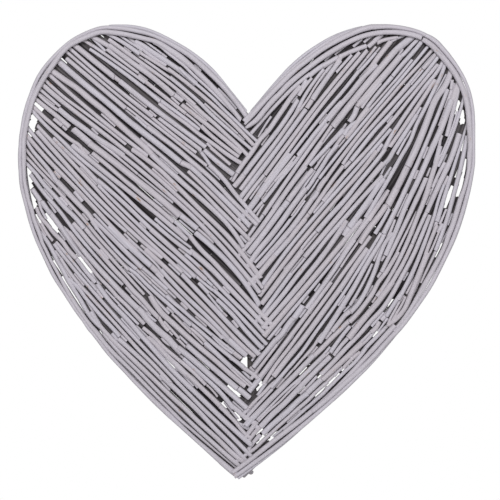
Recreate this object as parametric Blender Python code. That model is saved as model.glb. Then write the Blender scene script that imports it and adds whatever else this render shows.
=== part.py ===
"""A wicker heart for a wall: two fans of painted willow twigs held in a rim of bent rods.

The heart is laid out flat on a bench, with X to the right, Y towards the top of the heart and Z
from the wall into the room. A parent empty then stands it up, with its back against the wall.
"""

import math
import random

import bmesh
import bpy
import numpy as np

# Driving sizes of the whole heart, in metres
HEART_WIDTH = 0.600
HEART_HEIGHT = 0.5975

# Outline of each half from the cleft over the lobe to the tip, bent by hand and so not mirrored:
# (share of the half width, share of the height above the tip)
LEFT_OUTLINE = [
    (0.009, 0.807), (-0.192, 0.921), (-0.349, 0.974), (-0.557, 1.000), (-0.751, 0.974),
    (-0.908, 0.895), (-0.987, 0.789), (-1.000, 0.710), (-0.973, 0.605), (-0.903, 0.500),
    (-0.712, 0.342), (-0.440, 0.184), (-0.036, 0.003),
]
RIGHT_OUTLINE = [
    (0.009, 0.807), (0.210, 0.921), (0.362, 0.974), (0.579, 0.999), (0.803, 0.974),
    (0.939, 0.895), (0.990, 0.789), (0.996, 0.710), (0.960, 0.605), (0.882, 0.500),
    (0.690, 0.342), (0.402, 0.184), (-0.036, 0.003),
]

# Zigzag where the two fans meet, from the cleft to the tip, in the same shares
SEAM = [
    (-0.013, 0.790), (0.031, 0.739), (-0.066, 0.662), (0.052, 0.572), (-0.026, 0.509),
    (0.070, 0.428), (0.057, 0.395), (0.087, 0.357), (0.066, 0.296), (-0.004, 0.252),
    (0.044, 0.219), (0.004, 0.170), (0.000, 0.055), (-0.030, 0.000),
]

# Thickness of the willow
BACK_ROD_DEPTH = 0.0080
OUTER_ROD_DIAMETER = 0.0052
FRONT_ROD_DIAMETER = 0.0059
TWIG_DIAMETER = 0.0063
THINNEST_TWIG = 0.0028

# Gaps
TOUCH_GAP = 0.0004
TWIG_GAP = 0.0009
SEAM_GAP = 0.0005
JOINT_GAP = 0.0022
END_GAP = 0.0015

# Places of the rim rods, measured inwards from the outline to the middle of each rod
BACK_ROD_INSET = 0.0068
FRONT_ROD_INSET = 0.0084
RIGHT_OUTER_ROD_DROP = 0.0015
TWIG_END_INSET = 0.0072

# Rod ends at the cleft and at the tip, where the right half was nailed on over the left one
CLEFT_OVERSHOOT = 0.012
TIP_OVERSHOOT = -0.0012
TIP_STUB = 0.0085

# Third rods over the lobes: stretch of the outline's length, and how far inwards the rod strays from
# its place beside the front rod
LEFT_ARCH_STRETCH = (0.015, 0.245)
LEFT_ARCH_STRAY = (0.0010, 0.0025, 0.0015, 0.0, 0.0)
RIGHT_ARCH_STRETCH = (0.015, 0.240)
RIGHT_ARCH_STRAY = (0.0, 0.0040, 0.0060, 0.0010, 0.0)
RIGHT_LOWER_START = 0.62

# Sticks of the back frame: the cross stick's drop below the cleft, the spine's distance from the
# middle and the brace's rise from the rim to the cross stick
CROSS_STICK_DROP = 0.0162
SPINE_OFFSET = 0.0040
BRACE_RISE = 0.0860
BRACE_LEAN = math.radians(45.0)

# Twigs
TWIG_LENGTH = 0.170
THIN_END = 0.93
JOINT_STAGGER = 0.22
JOINT_STRAY = 0.06
LEFT_ROWS = 50
RIGHT_ROWS = 45
LEFT_BUNDLES = 25
RIGHT_BUNDLES = 23
LEFT_LEAN = math.radians(44.0)
RIGHT_LEAN = math.radians(52.0)
LEFT_TOP_FAN = -0.087
RIGHT_TOP_FAN = -0.020
LEFT_BEND = 0.454
RIGHT_BEND = 0.611
LEFT_CURL = 0.0
RIGHT_CURL = 1.10
LEFT_BEND_POWER = 3.0
RIGHT_BEND_POWER = 2.3

# Each bundle is bound by one twig behind it, which covers this stretch of the bundle
BINDING_STRETCH = (0.18, 0.82)

# How a twig nests in the groove between the two behind it, in twig radii
NESTING_RISE = 1.08

# Drawing fineness
OUTLINE_STEPS = 10
ROD_BOW = 0.0012
TRACE_STEP = 0.001
CHORD_ERROR = 0.0008
BOW_STEPS = 9
CLEARANCE_STEPS = 800
MERGED_POINTS = 0.004


class Half:
    """One half of the heart: its outline and the direction of its fan of twigs."""

    def __init__(self, name, side, outline, lean, top_fan, bend, curl, bend_power, rows, bundles):
        self.name = name
        self.side = side
        self.outline = smooth_path(scaled(outline), OUTLINE_STEPS)
        self.rim_line = thinned(self.outline, ROD_BOW)
        self.lean = lean
        self.top_fan = top_fan
        self.bend = bend
        self.curl = curl
        self.bend_power = bend_power
        self.rows = rows
        self.bundles = bundles
        along, across = self.to_fan(self.outline)
        lowest = int(np.argmax(across))
        self.rim_across = across[lowest] - TWIG_END_INSET
        self.bend_start = along[lowest]
        highest = int(np.argmin(across))
        self.top_along = along[highest]
        self.top_across = across[highest] + TWIG_END_INSET
        self.reach = (along.min(), along.max())

    def to_fan(self, points):
        """Bench points as distances along the twigs, towards the seam, and across them, downwards."""
        x = -self.side * points[:, 0]
        y = points[:, 1]
        along = x * math.cos(self.lean) - y * math.sin(self.lean)
        across = -x * math.sin(self.lean) - y * math.cos(self.lean)
        return along, across

    def to_bench(self, along, across):
        x = along * math.cos(self.lean) - across * math.sin(self.lean)
        y = -along * math.sin(self.lean) - across * math.cos(self.lean)
        return np.stack([-self.side * x, y], axis=-1)

    def line(self, share, along):
        """Distance across the fan of the line at this share: 0 at the cleft, 1 at the lower rim."""
        top = self.top_across + self.top_fan * (along - self.top_along)
        outward = np.maximum(0.0, self.bend_start - along)
        bulge = self.bend * (along - self.bend_start) ** 2 + self.curl * outward**3
        return top + (self.rim_across - top) * share - bulge * share**self.bend_power


def scaled(shares):
    return np.array([(x * HEART_WIDTH / 2, y * HEART_HEIGHT) for x, y in shares])


def cross_stick_height():
    """Height above the tip of the stick that the heart hangs by."""
    return scaled(LEFT_OUTLINE)[0][1] - CROSS_STICK_DROP


def smooth_path(points, steps):
    """A smooth curve through the points, with tangents weighted by the distances between them."""
    chords = np.linalg.norm(np.diff(points, axis=0), axis=1)
    slopes = np.diff(points, axis=0) / chords[:, None]
    before, after = chords[:-1, None], chords[1:, None]
    inner = (slopes[:-1] * after + slopes[1:] * before) / (before + after)
    tangents = np.vstack([2 * slopes[0] - inner[0], inner, 2 * slopes[-1] - inner[-1]])
    t = np.linspace(0, 1, steps, endpoint=False)[:, None]
    pieces = []
    for i, chord in enumerate(chords):
        pieces.append(
            (2 * t**3 - 3 * t**2 + 1) * points[i]
            + (t**3 - 2 * t**2 + t) * chord * tangents[i]
            + (3 * t**2 - 2 * t**3) * points[i + 1]
            + (t**3 - t**2) * chord * tangents[i + 1]
        )
    return np.vstack(pieces + [points[-1:]])


def path_length(path):
    return np.concatenate([[0.0], np.cumsum(np.linalg.norm(np.diff(path, axis=0), axis=1))])


def resampled(path, positions):
    """The points of the path at these shares of its length."""
    lengths = path_length(path)
    wanted = np.asarray(positions) * lengths[-1]
    return np.stack([np.interp(wanted, lengths, path[:, k]) for k in range(path.shape[1])], axis=-1)


def thinned(path, bow):
    """Points along a fine path, so spaced that the chords between them leave it by about the bow."""
    run = np.diff(path, axis=0)
    turn = np.abs(np.diff(np.unwrap(np.arctan2(run[:, 1], run[:, 0]))))
    lengths = np.linalg.norm(run, axis=1)
    effort = np.sqrt(np.concatenate([turn[:1], turn]) * lengths)
    effort = np.concatenate([[0.0], np.cumsum(effort)]) / math.sqrt(8 * bow)
    wanted = np.linspace(0, effort[-1], 2 + int(effort[-1]))
    return np.stack([np.interp(wanted, effort, path[:, k]) for k in range(2)], axis=-1)


def stretch_of(path, start, end):
    """The path between two distances along it, with its own points kept."""
    lengths = path_length(path)
    kept = (lengths > start + MERGED_POINTS) & (lengths < end - MERGED_POINTS)
    ends = [[np.interp(place, lengths, path[:, k]) for k in range(2)] for place in (start, end)]
    return np.vstack([ends[:1], path[kept], ends[1:]])


def inset_path(path, inset, side):
    """The path moved into the heart by a distance that may change along it."""
    run = np.diff(path, axis=0)
    run /= np.linalg.norm(run, axis=1)[:, None]
    run = np.vstack([run[:1], run[:-1] + run[1:], run[-1:]])
    run /= np.linalg.norm(run, axis=1)[:, None]
    inward = np.stack([-run[:, 1], run[:, 0]], axis=-1) * -side
    return path + inward * np.reshape(inset, (-1, 1))


def extended(path, at_start, at_end):
    """The path with its first and last stretches made longer."""
    first = path[0] + (path[0] - path[1]) / np.linalg.norm(path[0] - path[1]) * at_start
    last = path[-1] + (path[-1] - path[-2]) / np.linalg.norm(path[-1] - path[-2]) * at_end
    return np.vstack([first, path[1:-1], last])


def distance_to(points, path):
    """Distance of each point to the nearest place of the path."""
    start, run = path[:-1], np.diff(path, axis=0)
    to_point = points[:, None, :] - start[None]
    share = np.einsum("psk,sk->ps", to_point, run) / np.maximum((run**2).sum(axis=1), 1e-12)
    nearest = to_point - np.clip(share, 0, 1)[..., None] * run
    return np.sqrt((nearest**2).sum(axis=2).min(axis=1))


def inside(points, ring):
    """Which points lie within the closed ring."""
    x, y = points[:, 0, None], points[:, 1, None]
    x1, y1 = ring[:, 0], ring[:, 1]
    x2, y2 = np.roll(x1, -1), np.roll(y1, -1)
    level = np.where(np.abs(y2 - y1) < 1e-12, 1e-12, y2 - y1)
    crossed = ((y1 > y) != (y2 > y)) & (x < (x2 - x1) * (y - y1) / level + x1)
    return crossed.sum(axis=1) % 2 == 1


def longest_run(flags):
    """First and last index of the longest unbroken run of true flags, or None."""
    edges = np.flatnonzero(np.diff(np.concatenate([[0], flags.astype(int), [0]])))
    if len(edges) == 0:
        return None
    starts, stops = edges[::2], edges[1::2]
    best = int(np.argmax(stops - starts))
    return starts[best], stops[best] - 1


def clear_of(path, obstacles):
    """The longest stretch of the path that keeps its distance from each (path, distance) pair."""
    places = np.linspace(0, path_length(path)[-1], CLEARANCE_STEPS)
    fine = resampled(path, np.linspace(0, 1, CLEARANCE_STEPS))
    free = np.ones(CLEARANCE_STEPS, bool)
    for obstacle, distance in obstacles:
        free &= distance_to(fine, obstacle) > distance
    first, last = longest_run(free)
    return stretch_of(path, places[first], places[last])


# Pieces in Blender


def make_material(name, colour, roughness):
    material = bpy.data.materials.new(name)
    material.use_nodes = True
    shader = material.node_tree.nodes["Principled BSDF"]
    shader.inputs["Base Color"].default_value = (*colour, 1.0)
    shader.inputs["Roughness"].default_value = roughness
    shader.inputs["Metallic"].default_value = 0.0
    return material


def make_profile(name, sides, first_angle, guides):
    """A round willow section drawn with few sides, of radius 1."""
    data = bpy.data.curves.new(name, "CURVE")
    spline = data.splines.new("POLY")
    spline.points.add(sides - 1)
    for i, point in enumerate(spline.points):
        angle = first_angle + 2 * math.pi * i / sides
        point.co = (math.cos(angle), math.sin(angle), 0.0, 1.0)
    spline.use_cyclic_u = True
    profile = bpy.data.objects.new(name, data)
    profile.hide_render = True
    profile.display_type = "WIRE"
    guides.objects.link(profile)
    return profile


def add_tube_curve(name, paths, profile, stand, collection):
    """A curve object with a closed tube along each path of (x, y, z, radius) rows.

    Without a profile the tube has six sides, one of them flat towards the wall.
    """
    data = bpy.data.curves.new(name, "CURVE")
    data.dimensions = "3D"
    data.twist_mode = "Z_UP"
    data.use_fill_caps = True
    if profile:
        data.bevel_mode = "OBJECT"
        data.bevel_object = profile
    else:
        data.bevel_depth = 1.0
        data.bevel_resolution = 1
    for path in paths:
        spline = data.splines.new("POLY")
        spline.points.add(len(path) - 1)
        for point, (x, y, z, radius) in zip(spline.points, path):
            point.co = (x, y, z, 1.0)
            point.radius = radius
    tube = bpy.data.objects.new(name, data)
    tube.parent = stand
    tube.location = (0.0, -cross_stick_height(), 0.0)
    collection.objects.link(tube)
    return tube


def add_tube_mesh(name, paths, profile, stand, collection):
    """The same tubes as a mesh with welded caps, so that a Boolean can join them."""
    tube = add_tube_curve(name + "_curve", paths, profile, stand, collection)
    bpy.context.view_layer.update()
    graph = bpy.context.evaluated_depsgraph_get()
    mesh = bpy.data.meshes.new_from_object(tube.evaluated_get(graph))
    mesh.name = name
    welded = bmesh.new()
    welded.from_mesh(mesh)
    bmesh.ops.remove_doubles(welded, verts=welded.verts, dist=1e-6)
    bmesh.ops.recalc_face_normals(welded, faces=welded.faces)
    welded.to_mesh(mesh)
    welded.free()
    piece = bpy.data.objects.new(name, mesh)
    piece.parent = stand
    piece.location = tube.location
    collection.objects.link(piece)
    data = tube.data
    bpy.data.objects.remove(tube)
    bpy.data.curves.remove(data)
    return piece


def join(piece, *others):
    for other in others:
        union = piece.modifiers.new("join_" + other.name, "BOOLEAN")
        union.operation = "UNION"
        union.solver = "EXACT"
        union.object = other


def dress(piece, material):
    piece.data.materials.clear()
    piece.data.materials.append(material)


# The rim and the back frame


def rod_path(half, inset, stretch=(0.0, 1.0), stray=(0.0,)):
    """A rod's middle line inside the outline, along a stretch of the rim's length."""
    whole = path_length(half.rim_line)[-1]
    path = stretch_of(half.rim_line, stretch[0] * whole, stretch[1] * whole)
    shares = path_length(path) / path_length(path)[-1]
    straying = np.interp(shares, np.linspace(0, 1, len(stray)), stray)
    return inset_path(path, inset + straying, half.side)


class Rim:
    """The middle lines of the rim's rods, and their heights above the wall."""

    def __init__(self, left, right):
        front, outer = FRONT_ROD_DIAMETER / 2, OUTER_ROD_DIAMETER / 2
        second = FRONT_ROD_INSET + FRONT_ROD_DIAMETER + TOUCH_GAP
        fan_top = BACK_ROD_DEPTH + TOUCH_GAP + TWIG_DIAMETER / 2 * (2 + NESTING_RISE)
        self.front_height = fan_top + TOUCH_GAP + front
        beside = FRONT_ROD_INSET - outer
        apart = front + outer + TOUCH_GAP
        self.outer_height = self.front_height - math.sqrt(max(apart**2 - beside**2, 0.0))
        self.back_height = BACK_ROD_DEPTH / 2
        self.back_radius = BACK_ROD_DEPTH / 2 / math.cos(math.pi / 6)

        self.right_front = extended(
            rod_path(right, FRONT_ROD_INSET), CLEFT_OVERSHOOT, TIP_OVERSHOOT
        )
        self.right_lower = extended(
            rod_path(right, second, (RIGHT_LOWER_START, 1.0)), 0.0, TIP_OVERSHOOT
        )
        over_left = [(self.right_front, 2 * front + END_GAP), (self.right_lower, 2 * front + END_GAP)]
        self.left_front = clear_of(rod_path(left, FRONT_ROD_INSET), over_left)
        self.left_arch = clear_of(
            rod_path(left, second, LEFT_ARCH_STRETCH, LEFT_ARCH_STRAY),
            [(self.left_front, 2 * front + TOUCH_GAP / 2)],
        )
        self.right_arch = clear_of(
            rod_path(right, second, RIGHT_ARCH_STRETCH, RIGHT_ARCH_STRAY),
            [(self.right_front, 2 * front + TOUCH_GAP / 2)],
        )
        beside_left = [(path, front + outer + END_GAP) for path, _ in over_left]
        self.left_outer = clear_of(rod_path(left, outer), beside_left)
        beside_right = [
            (self.left_outer, 2 * outer + END_GAP),
            (self.left_front, front + outer + END_GAP),
        ]
        self.right_outer = clear_of(rod_path(right, outer), beside_right)
        self.left_back = extended(rod_path(left, BACK_ROD_INSET), 0.0, TIP_STUB)
        self.right_back = clear_of(
            rod_path(right, BACK_ROD_INSET), [(self.left_back, 2 * self.back_radius + END_GAP)]
        )


def add_rod(name, path, height, radius, material, stand, parts):
    rows = [(x, y, height, radius) for x, y in path]
    rod = add_tube_curve(name, [rows], None, stand, parts)
    dress(rod, material)


def add_rim(rim, material, stand, parts):
    front, outer = FRONT_ROD_DIAMETER / 2, OUTER_ROD_DIAMETER / 2
    right_outer_height = rim.outer_height - RIGHT_OUTER_ROD_DROP
    for name, path, height, radius in (
        ("left_rim_front_rod", rim.left_front, rim.front_height, front),
        ("left_rim_outer_rod", rim.left_outer, rim.outer_height, outer),
        ("left_rim_arch_rod", rim.left_arch, rim.front_height, front),
        ("left_rim_back_rod", rim.left_back, rim.back_height, rim.back_radius),
        ("right_rim_front_rod", rim.right_front, rim.front_height, front),
        ("right_rim_lower_rod", rim.right_lower, rim.front_height, front),
        ("right_rim_outer_rod", rim.right_outer, right_outer_height, outer),
        ("right_rim_arch_rod", rim.right_arch, rim.front_height, front),
        ("right_rim_back_rod", rim.right_back, rim.back_height, rim.back_radius),
    ):
        add_rod(name, path, height, radius, material, stand, parts)


def add_back_frame(rim, material, stand, parts):
    """A cross stick that carries the hanger, a spine below it and a brace on the left."""
    reach = 2 * rim.back_radius + END_GAP
    rods = [(rim.left_back, reach), (rim.right_back, reach)]
    half_width, height = HEART_WIDTH / 2, cross_stick_height()
    cross = clear_of(np.array([(-half_width, height), (half_width, height)]), rods)
    upright = np.array([(SPINE_OFFSET, height), (SPINE_OFFSET, 0.0)])
    spine = clear_of(upright, [*rods, (cross, reach)])
    foot = height - BRACE_RISE
    foot_x = float(np.interp(-foot, -rim.left_back[:, 1], rim.left_back[:, 0]))
    head_x = foot_x + BRACE_RISE / math.tan(BRACE_LEAN)
    brace = clear_of(np.array([(foot_x, foot), (head_x, height)]), [*rods, (cross, reach)])
    for name, path in (
        ("back_cross_stick", cross),
        ("back_spine_stick", spine),
        ("back_left_brace", brace),
    ):
        add_rod(name, path, rim.back_height, rim.back_radius, material, stand, parts)


# The fans of twigs


class Bench:
    """The room that the twigs have: inside the rim and up to the seam."""

    def __init__(self, left, right):
        self.ring = np.vstack([left.outline, right.outline[::-1]])
        self.seam = scaled(SEAM)[::-1]

    def room(self, half, points, end_inset):
        within = inside(points, self.ring)
        rim = distance_to(points, np.vstack([self.ring, self.ring[:1]])) >= end_inset
        seam_x = np.interp(points[:, 1], self.seam[:, 1], self.seam[:, 0])
        before_seam = half.side * (points[:, 0] - seam_x) >= SEAM_GAP
        return within & rim & before_seam


def trace(half, bench, share, step, end_inset):
    """A line of the fan where it has room: distances along it, its points and its twig radius."""
    along = np.arange(half.reach[0], half.reach[1], TRACE_STEP)
    across = half.line(share, along)
    slope = np.gradient(across, along)
    pitch = half.line(share + step / 2, along) - half.line(share - step / 2, along)
    pitch = pitch / np.sqrt(1 + slope**2)
    radius = np.minimum(TWIG_DIAMETER, pitch - TWIG_GAP) / 2
    unit = np.stack([-slope, np.ones_like(slope)]) / np.sqrt(1 + slope**2)
    free = radius * 2 >= THINNEST_TWIG
    for sideways in (-1.0, 0.0, 1.0):
        shifted = half.to_bench(along + unit[0] * radius * sideways, across + unit[1] * radius * sideways)
        free &= bench.room(half, shifted, end_inset)
    run = longest_run(free)
    if run is None:
        return None
    first, last = run
    return along[first : last + 1], across[first : last + 1], radius[first : last + 1]


def twig_rows(half, line, start, end, height, taper):
    """Rows for one twig on a traced line: few points where the line is nearly straight."""
    along, across, radius = line
    places = np.linspace(start, end, BOW_STEPS)
    bow = np.interp(places, along, across)
    chord = np.interp(places, [start, end], [bow[0], bow[-1]])
    pieces = 1 + int(math.sqrt(np.abs(bow - chord).max() / CHORD_ERROR))
    rows = []
    for share in np.linspace(0, 1, pieces + 1):
        place = start + (end - start) * share
        local = float(np.interp(place, along, radius))
        x, y = half.to_bench(place, float(np.interp(place, along, across)))
        rows.append((x, y, height(local), local * (taper[0] + (taper[1] - taper[0]) * share)))
    return rows


def joint_shares(count, shift, dice):
    """Where a row of twigs is broken, as shares of its length."""
    return [(k + shift + dice.uniform(-JOINT_STRAY, JOINT_STRAY)) / count for k in range(1, count)]


def spans(first, last, breaks):
    """The stretches of a row between its joints, with a small gap at each joint."""
    starts = [first] + [place + JOINT_GAP / 2 for place in breaks]
    ends = [place - JOINT_GAP / 2 for place in breaks] + [last]
    return list(zip(starts, ends))


def bundle_twigs(half, bench, shares, step, dice, bed):
    """The twigs of one bundle: its rows in front, and the ones that bind them from behind."""
    if len(shares) > 1:
        grooves = [(upper + lower) / 2 for upper, lower in zip(shares, shares[1:])]
    else:
        grooves = list(shares)
    middle = trace(half, bench, sum(shares) / len(shares), step, TWIG_END_INSET)[0]
    reach = middle[0], middle[-1]
    behind = []
    for share in grooves:
        line = trace(half, bench, share, step, TWIG_END_INSET)
        start, end = np.interp(BINDING_STRETCH, (0.0, 1.0), reach)
        behind.append(twig_rows(half, line, start, end, lambda radius: bed + radius, (1.0, 1.0)))
    front = []
    for number, share in enumerate(shares):
        line = trace(half, bench, share, step, TWIG_END_INSET)
        first, last = line[0][0], line[0][-1]
        count = max(1, round((last - first) / TWIG_LENGTH))
        shift = JOINT_STAGGER if number % 2 == 0 else -JOINT_STAGGER
        breaks = np.interp(joint_shares(count, shift, dice), (0.0, 1.0), reach)
        breaks = [place for place in breaks if first < place - TWIG_DIAMETER]
        breaks = [place for place in breaks if place + TWIG_DIAMETER < last]
        for start, end in spans(first, last, breaks):
            taper = dice.choice([(1.0, THIN_END), (THIN_END, 1.0)])
            front.append(
                twig_rows(half, line, start, end, lambda radius: bed + radius * (1 + NESTING_RISE), taper)
            )
    return front, behind


def add_fan(half, bench, bed, profile, material, stand, parts, guides):
    step = 1.0 / half.rows
    for bundle in range(half.bundles):
        first = round(bundle * half.rows / half.bundles)
        last = round((bundle + 1) * half.rows / half.bundles)
        shares = [(row + 0.5) * step for row in range(first, last)]
        dice = random.Random(1000 + 100 * half.side + bundle)
        front, behind = bundle_twigs(half, bench, shares, step, dice, bed)
        name = f"{half.name}_twigs_{bundle + 1:02d}"
        twigs = add_tube_mesh(name, front, profile, stand, parts)
        under = add_tube_mesh(name + "_behind", behind, profile, stand, guides)
        under.hide_render = True
        under.display_type = "WIRE"
        join(twigs, under)
        dress(twigs, material)


def main():
    for old in list(bpy.data.objects):
        bpy.data.objects.remove(old)
    parts = bpy.data.collections.new("wicker_heart")
    guides = bpy.data.collections.new("guides")
    for collection in (parts, guides):
        bpy.context.scene.collection.children.link(collection)
    stand = bpy.data.objects.new("hung_heart", None)
    stand.rotation_euler = (math.pi / 2, 0.0, 0.0)
    parts.objects.link(stand)

    painted_rod = make_material("painted_rod", (0.47, 0.44, 0.48), 0.75)
    painted_twig = make_material("painted_twig", (0.52, 0.48, 0.53), 0.75)
    shaded_stick = make_material("shaded_stick", (0.10, 0.09, 0.09), 0.85)
    pentagon = make_profile("twig_section", 5, math.pi / 2, guides)

    left = Half("left", -1, LEFT_OUTLINE, LEFT_LEAN, LEFT_TOP_FAN, LEFT_BEND, LEFT_CURL,
                LEFT_BEND_POWER, LEFT_ROWS, LEFT_BUNDLES)
    right = Half("right", 1, RIGHT_OUTLINE, RIGHT_LEAN, RIGHT_TOP_FAN, RIGHT_BEND, RIGHT_CURL,
                 RIGHT_BEND_POWER, RIGHT_ROWS, RIGHT_BUNDLES)
    rim = Rim(left, right)
    add_rim(rim, painted_rod, stand, parts)
    add_back_frame(rim, shaded_stick, stand, parts)
    bench = Bench(left, right)
    bed = BACK_ROD_DEPTH + TOUCH_GAP
    for half in (left, right):
        add_fan(half, bench, bed, pentagon, painted_twig, stand, parts, guides)


main()
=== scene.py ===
"""Looks of a wicker heart for a wall: painted willow twigs in two slanting fans inside bent rods.

Shapes are laid out flat on a bench, with X to the right, Y up the heart and Z from the wall into
the room, and are then stood up against the wall. The twigs are laid one by one on a pile, so that
each rests on those below it.
"""

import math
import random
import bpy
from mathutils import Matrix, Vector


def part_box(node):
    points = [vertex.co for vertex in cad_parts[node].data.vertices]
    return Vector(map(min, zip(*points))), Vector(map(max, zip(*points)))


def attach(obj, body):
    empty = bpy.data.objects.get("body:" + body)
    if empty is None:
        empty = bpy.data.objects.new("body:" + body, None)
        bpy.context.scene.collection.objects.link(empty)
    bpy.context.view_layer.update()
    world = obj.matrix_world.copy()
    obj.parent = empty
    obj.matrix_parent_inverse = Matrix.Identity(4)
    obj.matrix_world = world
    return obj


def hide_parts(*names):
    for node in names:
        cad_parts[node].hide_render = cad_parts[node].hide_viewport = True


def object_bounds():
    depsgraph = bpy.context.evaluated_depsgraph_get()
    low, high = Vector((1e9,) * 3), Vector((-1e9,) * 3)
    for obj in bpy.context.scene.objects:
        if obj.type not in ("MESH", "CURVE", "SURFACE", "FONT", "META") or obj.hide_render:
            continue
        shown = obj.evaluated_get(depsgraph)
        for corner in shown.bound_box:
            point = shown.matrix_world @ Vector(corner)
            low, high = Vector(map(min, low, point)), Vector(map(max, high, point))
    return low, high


bl_info = {
    "name": "Wicker Heart",
    "version": (1, 0, 0),
    "blender": (4, 5, 0),
    "location": "3D View > Sidebar > Wicker Heart",
    "description": "Rim, twigs, back frame and studio of a wall heart of painted willow",
    "category": "Object",
}

import bpy
import numpy as np

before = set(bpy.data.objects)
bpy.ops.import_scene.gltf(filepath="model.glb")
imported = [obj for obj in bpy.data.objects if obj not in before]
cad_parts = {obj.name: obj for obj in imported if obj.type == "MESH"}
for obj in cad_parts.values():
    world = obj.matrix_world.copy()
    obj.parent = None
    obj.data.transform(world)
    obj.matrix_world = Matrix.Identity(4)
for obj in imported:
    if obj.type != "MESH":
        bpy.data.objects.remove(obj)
CAD_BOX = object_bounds()

# Size of the heart, and the outline of each half as shares of the half width and of the height
HEART_WIDTH = 0.600
HEART_HEIGHT = 0.5975
CROSS_STICK_DROP = 0.0162  # below the cleft
LEFT_OUTLINE = [
    (0.009, 0.807), (-0.192, 0.921), (-0.349, 0.974), (-0.557, 1.000), (-0.751, 0.974),
    (-0.908, 0.895), (-0.987, 0.789), (-1.000, 0.710), (-0.973, 0.605), (-0.903, 0.500),
    (-0.712, 0.342), (-0.440, 0.184), (-0.036, 0.003),
]
RIGHT_OUTLINE = [
    (0.009, 0.807), (0.210, 0.921), (0.362, 0.974), (0.579, 0.999), (0.803, 0.974),
    (0.939, 0.895), (0.990, 0.789), (0.996, 0.710), (0.960, 0.605), (0.882, 0.500),
    (0.690, 0.342), (0.402, 0.184), (-0.036, 0.003),
]

# Zigzag where the fans meet, in the same shares
SEAM = [
    (-0.013, 0.790), (0.031, 0.739), (-0.066, 0.662), (0.052, 0.572), (-0.026, 0.509),
    (0.070, 0.428), (0.057, 0.395), (0.087, 0.357), (0.066, 0.296), (-0.004, 0.252),
    (0.044, 0.219), (0.004, 0.170), (0.000, 0.055), (-0.030, 0.000),
]

# The tables of twigs, openings and rods are in tenths of a millimetre on the bench
TENTHS = 10000  # in a metre

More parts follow.
